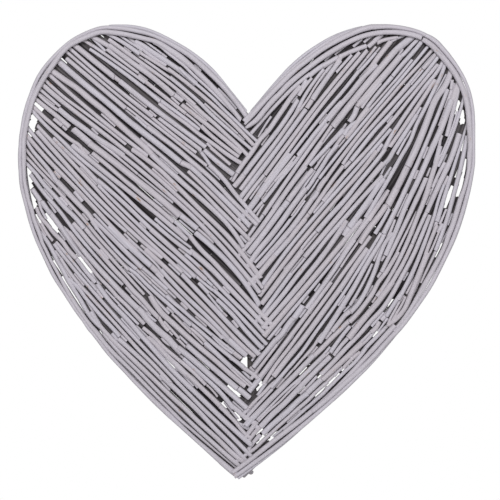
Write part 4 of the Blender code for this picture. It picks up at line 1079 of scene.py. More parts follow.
def along_path(path, places):
    """The points of the path at these distances along it, straight on past its ends."""
    lengths = path_length(path)
    places = np.asarray(places, float)
    points = [np.interp(places, lengths, path[:, k]) for k in range(path.shape[1])]
    points = np.stack(points, axis=-1)
    first = (path[0] - path[1]) / np.linalg.norm(path[0] - path[1])
    last = (path[-1] - path[-2]) / np.linalg.norm(path[-1] - path[-2])
    points += np.maximum(0.0, -places)[:, None] * first
    points += np.maximum(0.0, places - lengths[-1])[:, None] * last
    return points


def directions(path):
    """Unit vectors along the path."""
    run = np.gradient(path, axis=0)
    return run / np.maximum(np.linalg.norm(run, axis=1), 1e-12)[:, None]


def crosswise(path):
    """Unit vectors on the bench, at right angles to the path."""
    return directions(path)[:, ::-1] * (-1.0, 1.0)


def distance_to(points, path):
    """Distance of each point to the nearest place of the path."""
    start, run = path[:-1], np.diff(path, axis=0)
    to_point = points[:, None, :] - start[None]
    share = np.einsum("psk,sk->ps", to_point, run) / np.maximum((run**2).sum(axis=1), 1e-12)
    nearest = to_point - np.clip(share, 0, 1)[..., None] * run
    return np.sqrt((nearest**2).sum(axis=2).min(axis=1))


def inside(points, ring):
    """Which points lie within the closed ring."""
    x, y = points[:, 0, None], points[:, 1, None]
    x1, y1 = ring[:, 0], ring[:, 1]
    x2, y2 = np.roll(x1, -1), np.roll(y1, -1)
    level = np.where(np.abs(y2 - y1) < 1e-12, 1e-12, y2 - y1)
    crossed = ((y1 > y) != (y2 > y)) & (x < (x2 - x1) * (y - y1) / level + x1)
    return crossed.sum(axis=1) % 2 == 1


def true_runs(flags):
    """Start and stop of each unbroken run of true flags."""
    edges = np.flatnonzero(np.diff(np.concatenate([[0], flags.astype(int), [0]])))
    return list(zip(edges[::2], edges[1::2]))


class Half:
    """One half of the heart: its outline and the lines that its fan of twigs follows."""

    RIM_INSET = 0.0072  # from the outline to the top and bottom line of the fan

    def __init__(self, name, side, outline, lean, top_fan, bend, curl, bend_power):
        self.name = name
        self.side = side
        self.outline = smooth_path(scaled(outline), OUTLINE_STEPS)
        self.lean = math.radians(lean)
        self.top_fan = top_fan
        self.bend = bend
        self.curl = curl
        self.bend_power = bend_power
        along, across = self.to_fan(self.outline)
        lowest, highest = int(np.argmax(across)), int(np.argmin(across))
        self.rim_across = across[lowest] - self.RIM_INSET
        self.bend_start = along[lowest]
        self.top_along = along[highest]
        self.top_across = across[highest] + self.RIM_INSET
        self.reach = (along.min(), along.max())
        self.bundles = sum(1 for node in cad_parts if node.startswith(name + "_twigs_"))

    def to_fan(self, points):
        """Bench points as distances along the twigs, towards the seam, and across them, down."""
        x = -self.side * points[:, 0]
        y = points[:, 1]
        along = x * math.cos(self.lean) - y * math.sin(self.lean)
        across = -x * math.sin(self.lean) - y * math.cos(self.lean)
        return along, across

    def to_bench(self, along, across):
        """The bench points at these distances along and across the twigs."""
        x = along * math.cos(self.lean) - across * math.sin(self.lean)
        y = -along * math.sin(self.lean) - across * math.cos(self.lean)
        return np.stack([-self.side * x, y], axis=-1)

    def line(self, share, along):
        """Distance across the fan of the line at this share: 0 at the top, 1 at the lower rim."""
        top = self.top_across + self.top_fan * (along - self.top_along)
        outward = np.maximum(0.0, self.bend_start - along)
        bulge = self.bend * (along - self.bend_start) ** 2 + self.curl * outward**3
        return top + (self.rim_across - top) * share - bulge * share**self.bend_power


LEFT = Half(
    "left", -1, LEFT_OUTLINE, lean=44.0, top_fan=-0.087, bend=0.454, curl=0.0, bend_power=3.0
)
RIGHT = Half(
    "right", 1, RIGHT_OUTLINE, lean=52.0, top_fan=-0.020, bend=0.611, curl=1.10, bend_power=2.3
)
RING = np.vstack([LEFT.outline, RIGHT.outline[::-1]])
CLOSED_RING = np.vstack([RING, RING[:1]])
SEAM_LINE = scaled(SEAM)[::-1]


def free_stretch(half, share):
    """Where a line of the fan has room: from the rim's inset to a little past the seam."""
    along = np.arange(half.reach[0], half.reach[1] + SEAM_REACH, TRACE_STEP)
    points = half.to_bench(along, half.line(share, along))
    seam_x = np.interp(points[:, 1], SEAM_LINE[:, 1], SEAM_LINE[:, 0])
    free = inside(points, RING) & (distance_to(points, CLOSED_RING) >= BACK_INSET)
    free &= half.side * (points[:, 0] - seam_x) >= -SEAM_REACH
    runs = true_runs(free)
    if not runs:
        return None
    start, stop = max(runs, key=lambda run: run[1] - run[0])
    return along[start], along[stop - 1]


# The pile


class Pile:
    """Heights of what lies on the bench, as a grid of cells seen from the room."""

    def __init__(self):
        self.low = RING.min(axis=0) - PILE_MARGIN
        size = ((RING.max(axis=0) + PILE_MARGIN - self.low) / PILE_CELL).astype(int) + 1
        self.top = np.full(size, BED)

    def cells(self, points):
        """Column and row of the cells under the points."""
        index = ((points - self.low) / PILE_CELL).astype(int)
        index = np.clip(index, 0, np.array(self.top.shape) - 1)
        return index[..., 0], index[..., 1]

    def rest(self, path, radius, limpness, ceiling):
        """Heights at which a springy twig comes to rest, packed tighter towards the ceiling."""
        lanes = np.linspace(-PRESSED, PRESSED, LANES)
        offsets = lanes[None, :, None] * radius[:, None, None]
        column, row = self.cells(path[:, None] + crosswise(path)[:, None] * offsets)
        drop = np.sqrt(1 - lanes**2)[None] * radius[:, None]
        needed = (self.top[column, row] + drop).max(axis=1)
        lengths = path_length(path)
        apart = lengths[:, None] - lengths[None]
        height = (needed[None] - limpness * apart**2).max(axis=1)
        room = PACKING * (ceiling - LOOSE)
        over = np.maximum(0.0, height + radius - LOOSE)
        packed = LOOSE + room * (1 - np.exp(-over / room)) - radius
        height = np.minimum(np.where(over > 0, packed, height), ceiling - radius)
        return np.maximum(height, BED + radius)

    def add(self, path, height, radius):
        """Marks a twig's upper side on the grid."""
        lengths = path_length(path)
        fine = np.arange(0, lengths[-1], MARK_STEP)
        spots = along_path(path, fine)
        thick = np.interp(fine, lengths, radius)
        high = np.interp(fine, lengths, height)
        lanes = np.linspace(-EDGE, EDGE, 2 * int(radius.max() / PILE_CELL) + 3)
        offsets = lanes[None, :, None] * thick[:, None, None]
        tops = high[:, None] + np.sqrt(1 - lanes**2)[None] * thick[:, None]
        cells = self.cells(spots[:, None] + crosswise(spots)[:, None] * offsets)
        np.maximum.at(self.top, cells, tops)


# Tubes


class TubeSet:
    """Many tubes gathered into one mesh."""

    def __init__(self):
        self.points, self.faces, self.uvs, self.slots, self.shades = [], [], [], [], []
        self.count = 0

    def add(self, path, radius, sides, dice, shade, lobes=TWIG_LOBES, cut=None):
        """A closed tube along the path of (x, y, z) points. Its ends are sawn at a random slant, or
        at this one, with the cut to the room."""
        run = directions(path)
        side = np.cross(run, (0.0, 0.0, 1.0))
        side /= np.linalg.norm(side, axis=1)[:, None]
        over = np.cross(side, run)
        lengths = path_length(path)
        angle = np.linspace(0, 2 * math.pi, sides, endpoint=False)
        phase, swirl = dice.uniform(0, TURNS), dice.uniform(-SWIRL, SWIRL)
        twist = swirl * lengths[:, None]
        ridge = np.cos(2 * angle + phase + twist)
        ridge += THIRD_LOBE * np.cos(3 * angle - phase + THIRD_TWIST * twist)
        reach = radius[:, None] * (1 + lobes * ridge)
        rings = path[:, None] + reach[..., None] * (
            np.cos(angle)[:, None] * side[:, None] + np.sin(angle)[:, None] * over[:, None]
        )
        bevels = []
        for end, outward in ((0, -run[0]), (-1, run[-1])):
            steepest = SLANTED if dice.random() < SLANT_CHANCE else SQUARE
            slant, turn = dice.uniform(-steepest, steepest), dice.uniform(0, 2 * math.pi)
            if cut is not None:
                slant, turn = cut, -math.pi / 2
            slide = slant * radius[end] * np.cos(angle - turn)
            rings[end] += slide[:, None] * outward
            rise = outward * radius[end] * BEVEL * BEVEL_RISE
            bevels.append(rings[end] + (path[end] - rings[end]) * BEVEL + rise)
        rings = np.concatenate([bevels[:1], rings, bevels[1:]])
        along = np.concatenate([lengths[:1], lengths, lengths[-1:]]) + dice.uniform(0, BARK_SHIFT)

        grid = self.count + np.arange(len(rings) * sides).reshape(-1, sides)
        beside = np.roll(grid, -1, axis=1)
        quads = np.stack([grid[:-1], grid[1:], beside[1:], beside[:-1]], axis=-1).reshape(-1, 4)
        self.points.append(rings.reshape(-1, 3))
        self.faces += [*quads.tolist(), grid[0].tolist(), grid[-1][::-1].tolist()]
        self.slots += [0] * len(quads) + [1, 1]
        self.shades.append(np.full(grid.size, shade))
        self.count += grid.size

        around = np.arange(sides + 1) / sides
        u0, v0 = np.meshgrid(around[:-1], along[:-1])
        u1, v1 = np.meshgrid(around[1:], along[1:])
        loops = np.stack([u0, v0, u0, v1, u1, v1, u1, v0], axis=-1).reshape(-1, 2)
        disc = 0.5 + 0.5 * np.stack([np.cos(angle), np.sin(angle)], axis=-1)
        self.uvs += [loops, disc, disc[::-1]]

    def build(self, name, materials):
        """The mesh object, standing against the wall."""
        points = np.vstack(self.points)
        points = np.stack([points[:, 0], -points[:, 2], points[:, 1] - STICK_HEIGHT], axis=-1)
        mesh = bpy.data.meshes.new(name)
        mesh.from_pydata(points.tolist(), [], self.faces)
        for material in materials:
            mesh.materials.append(material)
        mesh.polygons.foreach_set("material_index", self.slots)
        layer = mesh.uv_layers.new(name="bark")
        layer.data.foreach_set("uv", np.vstack(self.uvs).astype(np.float32).ravel())
        shade = mesh.attributes.new("shade", "FLOAT", "POINT")
        shade.data.foreach_set("value", np.concatenate(self.shades).astype(np.float32))
        mesh.shade_smooth()
        mesh.set_sharp_from_angle(angle=math.radians(SHARP_EDGE))
        mesh.update()
        piece = bpy.data.objects.new(name, mesh)
        bpy.context.scene.collection.objects.link(piece)
        return piece


def dress_node(tubes, node, materials):
    """Builds the piece that stands for a CAD node."""
    piece = tubes.build(node + "_willow", materials)
    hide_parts(node)
    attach(piece, "root")
    return piece


def swell(radius, places, bud, growth, length):
    """The radius with a small swelling at a bud."""
    return radius * (1 + growth * np.exp(-(((places - bud) / length) ** 2)))


# Twigs


def willow_line(points, crook, dice):
    """A twig's middle line through the points, finely stepped, with small bends at its buds."""
    path = smooth_path(points, TWIG_STEPS) if len(points) > 2 else points
    length = path_length(path)[-1]
    places = np.linspace(0, length, max(FEWEST_PLACES, int(length / LAY_STEP)))
    path = along_path(path, places)
    buds = [0.0]
    while buds[-1] < length:
        buds.append(buds[-1] + dice.uniform(*TWIG_BUDS))
    steps = np.cumsum([0.0] + [dice.gauss(0, 1) for _ in buds[1:]])
    walk = np.interp(places, buds, steps)
    walk -= walk[0] + (walk[-1] - walk[0]) * places / length
    return path + crosswise(path) * (walk * crook)[:, None], buds[1:-1]


def willow_radius(places, ends, buds, dice):
    """The radius at each place: a slow taper, and a small swelling at each bud."""
    radius = (ends[0] + (ends[1] - ends[0]) * places / places[-1]) / 2
    for bud in buds:
        radius = swell(radius, places, bud, dice.uniform(*TWIG_SWELLING), TWIG_BUD)
    return radius


def share_of(half, point):
    """Which line of the fan passes the point: 0 at the top, 1 at the lower rim."""
    along, across = half.to_fan(point[None])
    shares = np.linspace(0, 1, SHARE_STEPS)
    return float(np.interp(across[0], half.line(shares, along[0]), shares))


def open_stretches(path):
    """The parts of a path that stay clear of the places where the wall shows."""
    clear = np.ones(len(path), bool)
    for x, y, direction, length, width in OPENINGS:
        turn = math.radians(direction)
        offset = path - np.array((x, y)) / TENTHS
        lengthwise = offset @ (math.cos(turn), math.sin(turn))
        sideways = offset @ (-math.sin(turn), math.cos(turn))
        lengthwise /= length / (2 * TENTHS) + OPENING_MARGIN
        sideways /= width / (2 * TENTHS) + OPENING_MARGIN
        clear &= lengthwise**OPENING_POWER + sideways**OPENING_POWER > 1
    shortest = SHORTEST_STUB / LAY_STEP
    return [(start, stop) for start, stop in true_runs(clear) if stop - start > shortest]


def plan_back_layer(half, rows, sizes, dice):
    """Twigs end to end along each line of the fan, interrupted where the wall shows."""
    twigs = []
    for row in range(rows):
        share = (row + 0.5) / rows
        stretch = free_stretch(half, share)
        if stretch is None:
            continue
        first, last = stretch
        place = first - dice.uniform(0.0, ROW_STAGGER) * sizes.longest
        while place < last:
            stop = place + dice.uniform(sizes.shortest, sizes.longest)
            start, end = max(place, first), min(stop, last)
            place = stop + dice.uniform(0.0, WIDEST_GAP)
            if end - start < SHORTEST_PART:
                continue
            along = np.linspace(start, end, max(3, int((end - start) / ROW_KNOTS)))
            drift = dice.gauss(0, ROW_DRIFT)
            drift = drift + np.linspace(-1, 1, len(along)) * dice.gauss(0, ROW_SKEW)
            points = half.to_bench(along, half.line(share, along) + drift)
            line, buds = willow_line(points, sizes.crook, dice)
            for a, b in open_stretches(line):
                ends = [sizes.under_twig * dice.uniform(*BACK_THICKNESS) for _ in range(2)]
                twigs.append((half, share, line[a:b], ends, buds))
    dice.shuffle(twigs)
    return twigs


def plan_front_layer(sizes, dice):
    """The twigs that show, from the table."""
    twigs = []
    for first, last, *numbers in TWIGS:
        points = np.array(numbers).reshape(-1, 2) / TENTHS
        half = LEFT if points[-1, 0] > points[0, 0] else RIGHT
        line, buds = willow_line(points, sizes.crook, dice)
        ends = (first / TENTHS, last / TENTHS)
        twigs.append((half, share_of(half, points.mean(axis=0)), line, ends, buds))
    return twigs


def ceiling_at(points):
    """How high a twig may lie: below the front rods at the rim, up to the heart's face inside."""
    inset = distance_to(points, CLOSED_RING)
    return np.minimum(CEILING, UNDER_RODS + np.maximum(0.0, inset - CEILING_FLAT) * CEILING_SLOPE)


def lay_fans(sizes, materials):
    """Lays every twig, from the wall outwards, and builds one piece for each CAD bundle."""
    dice = random.Random(sizes.seed)
    back = []
    for half, rows in ((LEFT, sizes.left_rows), (RIGHT, sizes.right_rows)):
        back += plan_back_layer(half, rows, sizes, dice)
    front = plan_front_layer(sizes, dice)
    pile = Pile()
    bundles = {}
    for number, (half, share, line, ends, buds) in enumerate(back + front):
        places = path_length(line)
        radius = willow_radius(places, ends, buds, dice)
        if number < len(back):
            spacing, sides = BACK_RINGS
            height = BED + radius
        else:
            spacing, sides = FRONT_RINGS
            height = pile.rest(line, radius, dice.uniform(*LIMPNESS), ceiling_at(line))
        pile.add(line, height, radius)
        rings = np.linspace(0, places[-1], max(FEWEST_RINGS, int(places[-1] / spacing)))
        raised = np.column_stack([line, height])
        path = along_path(raised, np.interp(rings, places, path_length(raised)))
        bundle = min(int(share * half.bundles), half.bundles - 1) + 1
        tubes = bundles.setdefault(f"{half.name}_twigs_{bundle:02d}", TubeSet())
        tubes.add(path, np.interp(rings, places, radius), sides, dice, dice.random())
    for node, tubes in sorted(bundles.items()):
        dress_node(tubes, node, materials)


# Rim and back frame


def rod_path(half, places, inset):
    """A rod's middle line at these distances along the outline and inwards from it."""
    points = along_path(half.outline, places)
    run = along_path(half.outline, places + ROD_RUN) - along_path(half.outline, places - ROD_RUN)
    run /= np.linalg.norm(run, axis=1)[:, None]
    inward = np.stack([-run[:, 1], run[:, 0]], axis=-1) * -half.side
    return points + inward * inset[:, None]


def add_rod(tubes, path, height, radius, dice, shade, sides=ROD_SIDES, cut=None):
    """One bent rod, with the slight waves and the buds of willow, kept within the frame's box."""
    lengths = path_length(path)
    wave = np.zeros(len(path))
    for _ in range(ROD_WAVES):
        waves = 2 * math.pi * lengths / dice.uniform(*WAVE_LENGTHS)
        wave += np.sin(waves + dice.uniform(0, TURNS))
    path = path + crosswise(path) * (wave * ROD_CROOK)[:, None]
    for _ in range(int(lengths[-1] / ROD_BUDS)):
        bud = dice.uniform(*ROD_BUD_PLACES) * lengths[-1]
        radius = swell(radius, lengths, bud, dice.uniform(*ROD_SWELLING), ROD_BUD)
    low, high = CAD_BOX
    room = radius * ROD_ROOM + BOX_GAP
    path = np.stack([
        np.clip(path[:, 0], low.x + room, high.x - room),
        np.clip(path[:, 1], low.z + STICK_HEIGHT + room, high.z + STICK_HEIGHT - room),
        np.clip(height, -high.y + room, -low.y - room),
    ], axis=1)
    tubes.add(path, radius, sides, dice, shade, lobes=ROD_LOBES, cut=cut)


def lay_rim(materials):
    """Lays the rods of the rim, from the table. The back rods are sawn aslant."""
    dice = random.Random(RIM_SEED)
    nodes = {}
    for node, name, shade, rows in RODS:
        half = LEFT if name == "left" else RIGHT
        rows = smooth_path(np.array(rows) / TENTHS, ROD_STEPS)
        places = np.arange(rows[0, 0], rows[-1, 0], ROD_STEP)
        inset, thickness, height = (np.interp(places, rows[:, 0], rows[:, k]) for k in (1, 2, 3))
        tubes = nodes.setdefault(node, TubeSet())
        cut = STUB_SLANT if "back" in node else None
        path = rod_path(half, places, inset)
        add_rod(tubes, path, height, thickness / 2, dice, shade, cut=cut)
    for node, tubes in sorted(nodes.items()):
        dress_node(tubes, node, materials)


def lay_back_frame(materials):
    """Fits a straight stick into the box of each node of the back frame."""
    dice = random.Random(FRAME_SEED)
    for node in ("back_cross_stick", "back_spine_stick", "back_left_brace"):
        low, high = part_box(node)
        middle = (low + high) / 2
        if node == "back_left_brace":
            ends = [(low.x, low.z), (high.x, high.z)]
        elif high.x - low.x > high.z - low.z:
            ends = [(low.x, middle.z), (high.x, middle.z)]
        else:
            ends = [(middle.x, high.z), (middle.x, low.z)]
        ends = np.array(ends) + (0.0, STICK_HEIGHT)
        path = along_path(ends, np.linspace(0, path_length(ends)[-1], STICK_PLACES))
        flat = np.full(len(path), (high.y - low.y) / 2)
        tubes = TubeSet()
        add_rod(tubes, path, flat, flat * STICK_FILL, dice, dice.random(), sides=STICK_SIDES)
        dress_node(tubes, node, materials)


# Materials


def new_group(name, inputs, outputs):
    """An empty shader node group with number sockets: its inputs, with defaults, and outputs."""
    group = bpy.data.node_groups.new(name, "ShaderNodeTree")
    sockets = group.interface
    for label, default in inputs.items():
        socket = sockets.new_socket(name=label, in_out="INPUT", socket_type="NodeSocketFloat")
        socket.default_value = default
    for label in outputs:
        sockets.new_socket(name=label, in_out="OUTPUT", socket_type="NodeSocketFloat")
    return group, group.nodes.new("NodeGroupInput"), group.nodes.new("NodeGroupOutput")


def connect(tree, node, values):
    """Links each input to its socket, or gives it its plain value."""
    for key, value in values.items():
        if isinstance(value, bpy.types.NodeSocket):
            tree.links.new(value, node.inputs[key])
        else:
            node.inputs[key].default_value = value


def add_node(tree, kind, values=None, **settings):
    """A node with its settings, and with sockets or values for some of its inputs."""
    node = tree.nodes.new(kind)
    for key, value in settings.items():
        setattr(node, key, value)
    connect(tree, node, values or {})
    return node


def bark_uv(tree, across, along):
    """Coordinates on the bark, stretched along the twig."""
    uv = add_node(tree, "ShaderNodeUVMap", uv_map="bark").outputs["UV"]
    values = {"Vector": uv, "Scale": (across, along, 1.0)}
    return add_node(tree, "ShaderNodeMapping", values).outputs["Vector"]


def noise(tree, vector, scale, detail, roughness):
    """A noise pattern."""
    values = {"Vector": vector, "Scale": scale, "Detail": detail, "Roughness": roughness}
    return add_node(tree, "ShaderNodeTexNoise", values).outputs["Fac"]


def ramp(tree, value, start, stop, high=1.0, smooth=False):
    """A number that goes from 0, where the value is at the start, to this high at the stop."""
    kind = "SMOOTHSTEP" if smooth else "LINEAR"
    values = {"Value": value, "From Min": start, "From Max": stop, "To Max": high}
    node = add_node(tree, "ShaderNodeMapRange", values, interpolation_type=kind)
    return node.outputs["Result"]


def reckon(tree, operation, *values):
    """The result of a sum on these values."""
    values = dict(enumerate(values))
    return add_node(tree, "ShaderNodeMath", values, operation=operation).outputs["Value"]


def mix_colour(tree, factor, first, second):
    """A colour mix; first and second are sockets or plain colours."""
    values = {0: factor}
    for key, side in ((6, first), (7, second)):
        values[key] = side if isinstance(side, bpy.types.NodeSocket) else (*side, 1.0)
    return add_node(tree, "ShaderNodeMix", values, data_type="RGBA").outputs[2]


def make_relief_group():
    """Wrinkles of the bark under the paint, its cracks, and the paint's own grain."""
    tree, given, result = new_group(
        "bark_relief", {"Wrinkle": 0.6, "Grain": 0.3}, ("Height", "Crack")
    )
    position = add_node(tree, "ShaderNodeNewGeometry").outputs["Position"]
    wrinkles = noise(tree, bark_uv(tree, 9.0, 45.0), scale=1.0, detail=5.0, roughness=0.65)
    grain = noise(tree, position, scale=2600.0, detail=3.0, roughness=0.6)
    cracks = noise(tree, bark_uv(tree, 16.0, 14.0), scale=1.0, detail=2.0, roughness=0.5)
    crack = ramp(tree, cracks, 0.70, 0.76)
    height = reckon(tree, "MULTIPLY", wrinkles, given.outputs["Wrinkle"])
    height = reckon(tree, "MULTIPLY_ADD", grain, given.outputs["Grain"], height)
    height = reckon(tree, "SUBTRACT", height, crack)
    connect(tree, result, {"Height": height, "Crack": crack})
    return tree


def make_spray_and_shade_group():
    """How well sprayed paint covers, with painted shade: less paint on sides that face away from
    the room and deep down, where the dark colour stands for the shade between the twigs as well as
    for bare bark. And which sides face the wall."""
    tree, given, result = new_group(
        "spray_reach",
        {"Side From": 0.04, "Side To": 0.46, "Deep": -0.0125, "Shallow": -0.0160},
        ("Cover", "Rear"),
    )
    given = given.outputs
    place = add_node(tree, "ShaderNodeNewGeometry").outputs
    towards_room = {0: place["Normal"], 1: (0.0, -1.0, 0.0)}
    facing = add_node(tree, "ShaderNodeVectorMath", towards_room, operation="DOT_PRODUCT")
    facing = facing.outputs["Value"]
    height = add_node(tree, "ShaderNodeSeparateXYZ", {"Vector": place["Position"]}).outputs["Y"]
    # painted shade: sides turned away from the room lose their paint, which draws dark lines
    # between the twigs
    side = ramp(tree, facing, given["Side From"], given["Side To"], smooth=True)
    # painted shade: lower down there is less paint, partly bare bark and partly the shade deep in
    # the pile
    depth_reach_and_shade = ramp(tree, height, given["Deep"], given["Shallow"], smooth=True)
    reach_and_shade = reckon(tree, "MULTIPLY", side, depth_reach_and_shade)
    connect(tree, result, {"Cover": reach_and_shade, "Rear": ramp(tree, facing, 0.05, -0.35)})
    return tree


def make_wear_group():
    """Rubbed streaks, stains and tiny dark specks in the paint."""
    tree, given, result = new_group(
        "paint_wear", {"Rubbing": 0.83, "Specks": 0.08}, ("Rubbed", "Speck", "Stain")
    )
    position = add_node(tree, "ShaderNodeNewGeometry").outputs["Position"]
    streaks = noise(tree, bark_uv(tree, 7.0, 30.0), scale=1.0, detail=4.0, roughness=0.6)
    patches = noise(tree, position, scale=95.0, detail=1.0, roughness=0.5)
    worn = reckon(tree, "MULTIPLY", reckon(tree, "MULTIPLY", streaks, patches), 2.0)
    dots = add_node(tree, "ShaderNodeTexVoronoi", {"Vector": position, "Scale": 240.0})
    connect(tree, result, {
        "Rubbed": ramp(tree, worn, given.outputs["Rubbing"], 1.0),
        "Speck": ramp(tree, dots.outputs["Distance"], given.outputs["Specks"], 0.0),
        "Stain": ramp(tree, streaks, 0.42, 0.72, high=0.42),
    })
    return tree


def use_group(tree, group, values=None):
    """The outputs of a node group, used with these values."""
    return add_node(tree, "ShaderNodeGroup", values, node_tree=group).outputs


def new_material(name, roughness, specular):
    """An empty material, its node tree and its shader."""
    material = bpy.data.materials.new(name)
    material.use_nodes = True
    tree = material.node_tree
    shader = tree.nodes["Principled BSDF"]
    connect(tree, shader, {"Roughness": roughness, "Specular IOR Level": specular})
    return material, tree, shader


def finish_shader(tree, shader, colour, height, strength, distance):
    """Gives the shader its colour, and the relief of its surface."""
    relief = {"Height": height, "Strength": strength, "Distance": distance}
    normal = add_node(tree, "ShaderNodeBump", relief).outputs["Normal"]
    connect(tree, shader, {"Base Color": colour, "Normal": normal})


def at_strength(colour, strength):
    """The colour, made this much lighter or darker."""
    return tuple(strength * part for part in colour)


def make_painted(name, colours, groups, shade_spread, bump, spray):
    """Chalky paint over bark: tone by piece, near-black bark where the spray missed, which also
    paints the shade on the twigs' sides and deep between them, rubbed and speckled.
    """
    material, tree, shader = new_material(name, roughness=0.78, specular=0.25)
    relief = use_group(tree, groups["relief"])
    reach_and_shade = use_group(tree, groups["spray"], spray)
    wear = use_group(tree, groups["wear"])
    shade = add_node(tree, "ShaderNodeAttribute", attribute_name="shade").outputs["Fac"]
    tone = ramp(tree, shade, 0.0, 1.0, high=shade_spread)
    paint = mix_colour(tree, tone, colours.paint, colours.warm_paint)
    paint = mix_colour(tree, wear["Stain"], paint, at_strength(colours.warm_paint, 0.70))
    worn = mix_colour(tree, wear["Rubbed"], paint, colours.rubbed)
    worn = mix_colour(tree, wear["Speck"], worn, colours.bark)
    worn = mix_colour(tree, relief["Crack"], worn, colours.bark)
    # painted shade: where paint is missing, near-black and misted bark stand for bare bark and for
    # the shade on the sides of the twigs and deep between them
    under = mix_colour(tree, shade, colours.bark, colours.misted_shade)
    under = mix_colour(tree, reach_and_shade["Rear"], under, colours.rear)
    colour = mix_colour(tree, reach_and_shade["Cover"], under, worn)
    finish_shader(tree, shader, colour, relief["Height"], strength=bump, distance=0.0004)
    return material


def make_cut_end(name, colours, groups, spray):
    """End grain with a brown ring of bark under a fine coat of paint; near-black deep down, where
    it paints the shade as well as bare bark.
    """
    material, tree, shader = new_material(name, roughness=0.85, specular=0.2)
    uv = add_node(tree, "ShaderNodeUVMap", uv_map="bark").outputs["UV"]
    to_middle = {0: uv, 1: (0.5, 0.5, 0.0)}
    distance = add_node(tree, "ShaderNodeVectorMath", to_middle, operation="DISTANCE")
    ring = ramp(tree, distance.outputs["Value"], 0.36, 0.44)
    core = at_strength(colours.paint, 0.78)
    edge = tuple(0.45 * a + 0.55 * b for a, b in zip(colours.rubbed, colours.paint))
    reach_and_shade = use_group(tree, groups["spray"], {"Side From": -1.5, "Side To": -1.2, **spray})
    face = mix_colour(tree, ring, core, edge)
    # painted shade: cut ends deep between the twigs turn near-black, for bare bark and for the
    # shade there
    colour = mix_colour(tree, reach_and_shade["Cover"], colours.bark, face)
    connect(tree, shader, {"Base Color": colour})
    return material


def make_stick(colours, groups):
    """Very dark bark colour, lighter on its ridges."""
    material, tree, shader = new_material("stick_bark", roughness=0.85, specular=0.2)
    height = use_group(tree, groups["relief"])["Height"]
    colour = mix_colour(tree, height, colours.stick, at_strength(colours.stick, 2.2))
    finish_shader(tree, shader, colour, height, strength=0.5, distance=0.0005)
    return material


def finishes(context):
    """The materials, made once."""
    if "cut_end" not in bpy.data.materials:
        colours = context.scene.willow_colours
        groups = {
            "relief": make_relief_group(), "spray": make_spray_and_shade_group(), "wear": make_wear_group(),
        }
        # the rods get less painted shade: only on sides turned far from the room and close to the
        # wall
        rod_spray_and_shade = {"Deep": 0.003, "Shallow": -0.0120, "Side From": -0.45, "Side To": 0.20}
        make_painted("twig_paint", colours, groups, shade_spread=0.8, bump=0.5, spray={})
        make_painted("rod_paint", colours, groups, shade_spread=0.5, bump=0.35, spray=rod_spray_and_shade)
        make_cut_end("cut_end", colours, groups, spray={})
        make_cut_end("rod_end", colours, groups, spray={"Deep": 0.004, "Shallow": 0.002})
        make_stick(colours, groups)
    return bpy.data.materials


# Operators


class WILLOW_OT_stage(bpy.types.Operator):
    """Pale floor, white surroundings, soft lights and the camera"""

    bl_idname = "willow.stage"
    bl_label = "Stage"

    def execute(self, context):
        scene = context.scene
        scene.view_settings.view_transform = "Standard"
        world = bpy.data.worlds.new("white_room")
        world.use_nodes = True
        scene.world = world
        tree = world.node_tree
        lighting = tree.nodes["Background"]
        connect(tree, lighting, {"Color": WHITE, "Strength": ROOM_LIGHT})
        seen = add_node(tree, "ShaderNodeBackground", {"Color": WHITE, "Strength": 1.0})
        path = add_node(tree, "ShaderNodeLightPath")
        mix = add_node(tree, "ShaderNodeMixShader", {
            0: path.outputs["Is Camera Ray"],
            1: lighting.outputs["Background"],
            2: seen.outputs["Background"],
        })
        connect(tree, tree.nodes["World Output"], {"Surface": mix.outputs["Shader"]})

        floor_place = (0.0, 0.0, CAD_BOX[0].z - FLOOR_DROP)
        bpy.ops.mesh.primitive_plane_add(size=FLOOR_SIZE, location=floor_place)
        floor = context.object
        floor.name = "floor"
        pale, tree, shader = new_material("pale_floor", roughness=0.9, specular=0.5)
        connect(tree, shader, {"Base Color": FLOOR_PAINT})
        floor.data.materials.append(pale)

        view_height = VIEW_CENTRE[1] - STICK_HEIGHT
        for name, place, size, power in LIGHTS:
            data = bpy.data.lights.new(name, "AREA")
            data.size = size
            data.energy = power
            light = bpy.data.objects.new(name, data)
            light.location = place
            aim = -light.location
            aim.z += view_height
            light.rotation_euler = aim.to_track_quat("-Z", "Y").to_euler()
            scene.collection.objects.link(light)

        data = bpy.data.cameras.new("camera")
        data.lens = LENS
        data.sensor_width = SENSOR
        camera = bpy.data.objects.new("camera", data)
        distance = VIEW_WIDTH * LENS / SENSOR
        camera.location = (VIEW_CENTRE[0], -VIEW_DEPTH - distance, view_height)
        camera.rotation_euler = (math.pi / 2, 0.0, 0.0)
        scene.collection.objects.link(camera)
        scene.camera = camera
        return {"FINISHED"}


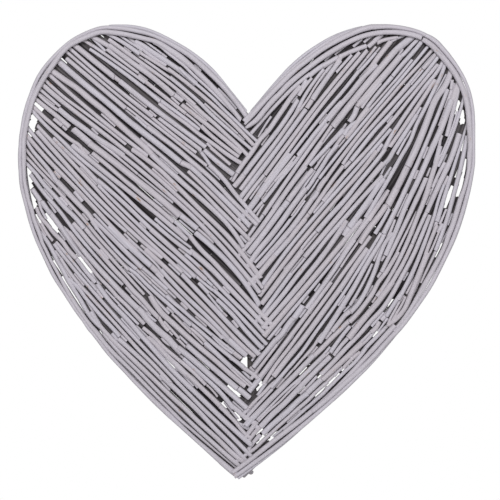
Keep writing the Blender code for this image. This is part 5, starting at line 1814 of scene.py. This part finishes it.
class WILLOW_OT_rim(bpy.types.Operator):
    """Bend the rods of the rim"""

    bl_idname = "willow.rim"
    bl_label = "Rim rods"

    def execute(self, context):
        made = finishes(context)
        lay_rim([made["rod_paint"], made["rod_end"]])
        return {"FINISHED"}


class WILLOW_OT_fans(bpy.types.Operator):
    """Lay the twigs of both fans"""

    bl_idname = "willow.fans"
    bl_label = "Twigs"

    def execute(self, context):
        made = finishes(context)
        lay_fans(context.scene.willow_sizes, [made["twig_paint"], made["cut_end"]])
        return {"FINISHED"}


class WILLOW_OT_back_frame(bpy.types.Operator):
    """Fit the sticks of the back frame"""

    bl_idname = "willow.back_frame"
    bl_label = "Back frame"

    def execute(self, context):
        made = finishes(context)
        lay_back_frame([made["stick_bark"], made["rod_end"]])
        return {"FINISHED"}


class WILLOW_PT_heart(bpy.types.Panel):
    """Sizes, colours and pieces of the heart"""

    bl_idname = "WILLOW_PT_heart"
    bl_label = "Wicker Heart"
    bl_space_type = "VIEW_3D"
    bl_region_type = "UI"
    bl_category = "Wicker Heart"

    def draw(self, context):
        layout = self.layout
        for settings in (context.scene.willow_sizes, context.scene.willow_colours):
            box = layout.box()
            for name in settings.__annotations__:
                box.prop(settings, name)
        for operator in OPERATORS:
            layout.operator(operator.bl_idname)


OPERATORS = (WILLOW_OT_stage, WILLOW_OT_rim, WILLOW_OT_fans, WILLOW_OT_back_frame)
CLASSES = (WillowSizes, WillowColours, *OPERATORS, WILLOW_PT_heart)


def register():
    for cls in CLASSES:
        bpy.utils.register_class(cls)
    bpy.types.Scene.willow_sizes = bpy.props.PointerProperty(type=WillowSizes)
    bpy.types.Scene.willow_colours = bpy.props.PointerProperty(type=WillowColours)


def unregister():
    del bpy.types.Scene.willow_colours
    del bpy.types.Scene.willow_sizes
    for cls in reversed(CLASSES):
        bpy.utils.unregister_class(cls)


def main():
    register()
    bpy.ops.willow.stage()
    bpy.ops.willow.rim()
    bpy.ops.willow.fans()
    bpy.ops.willow.back_frame()


if __name__ == "__main__":
    main()
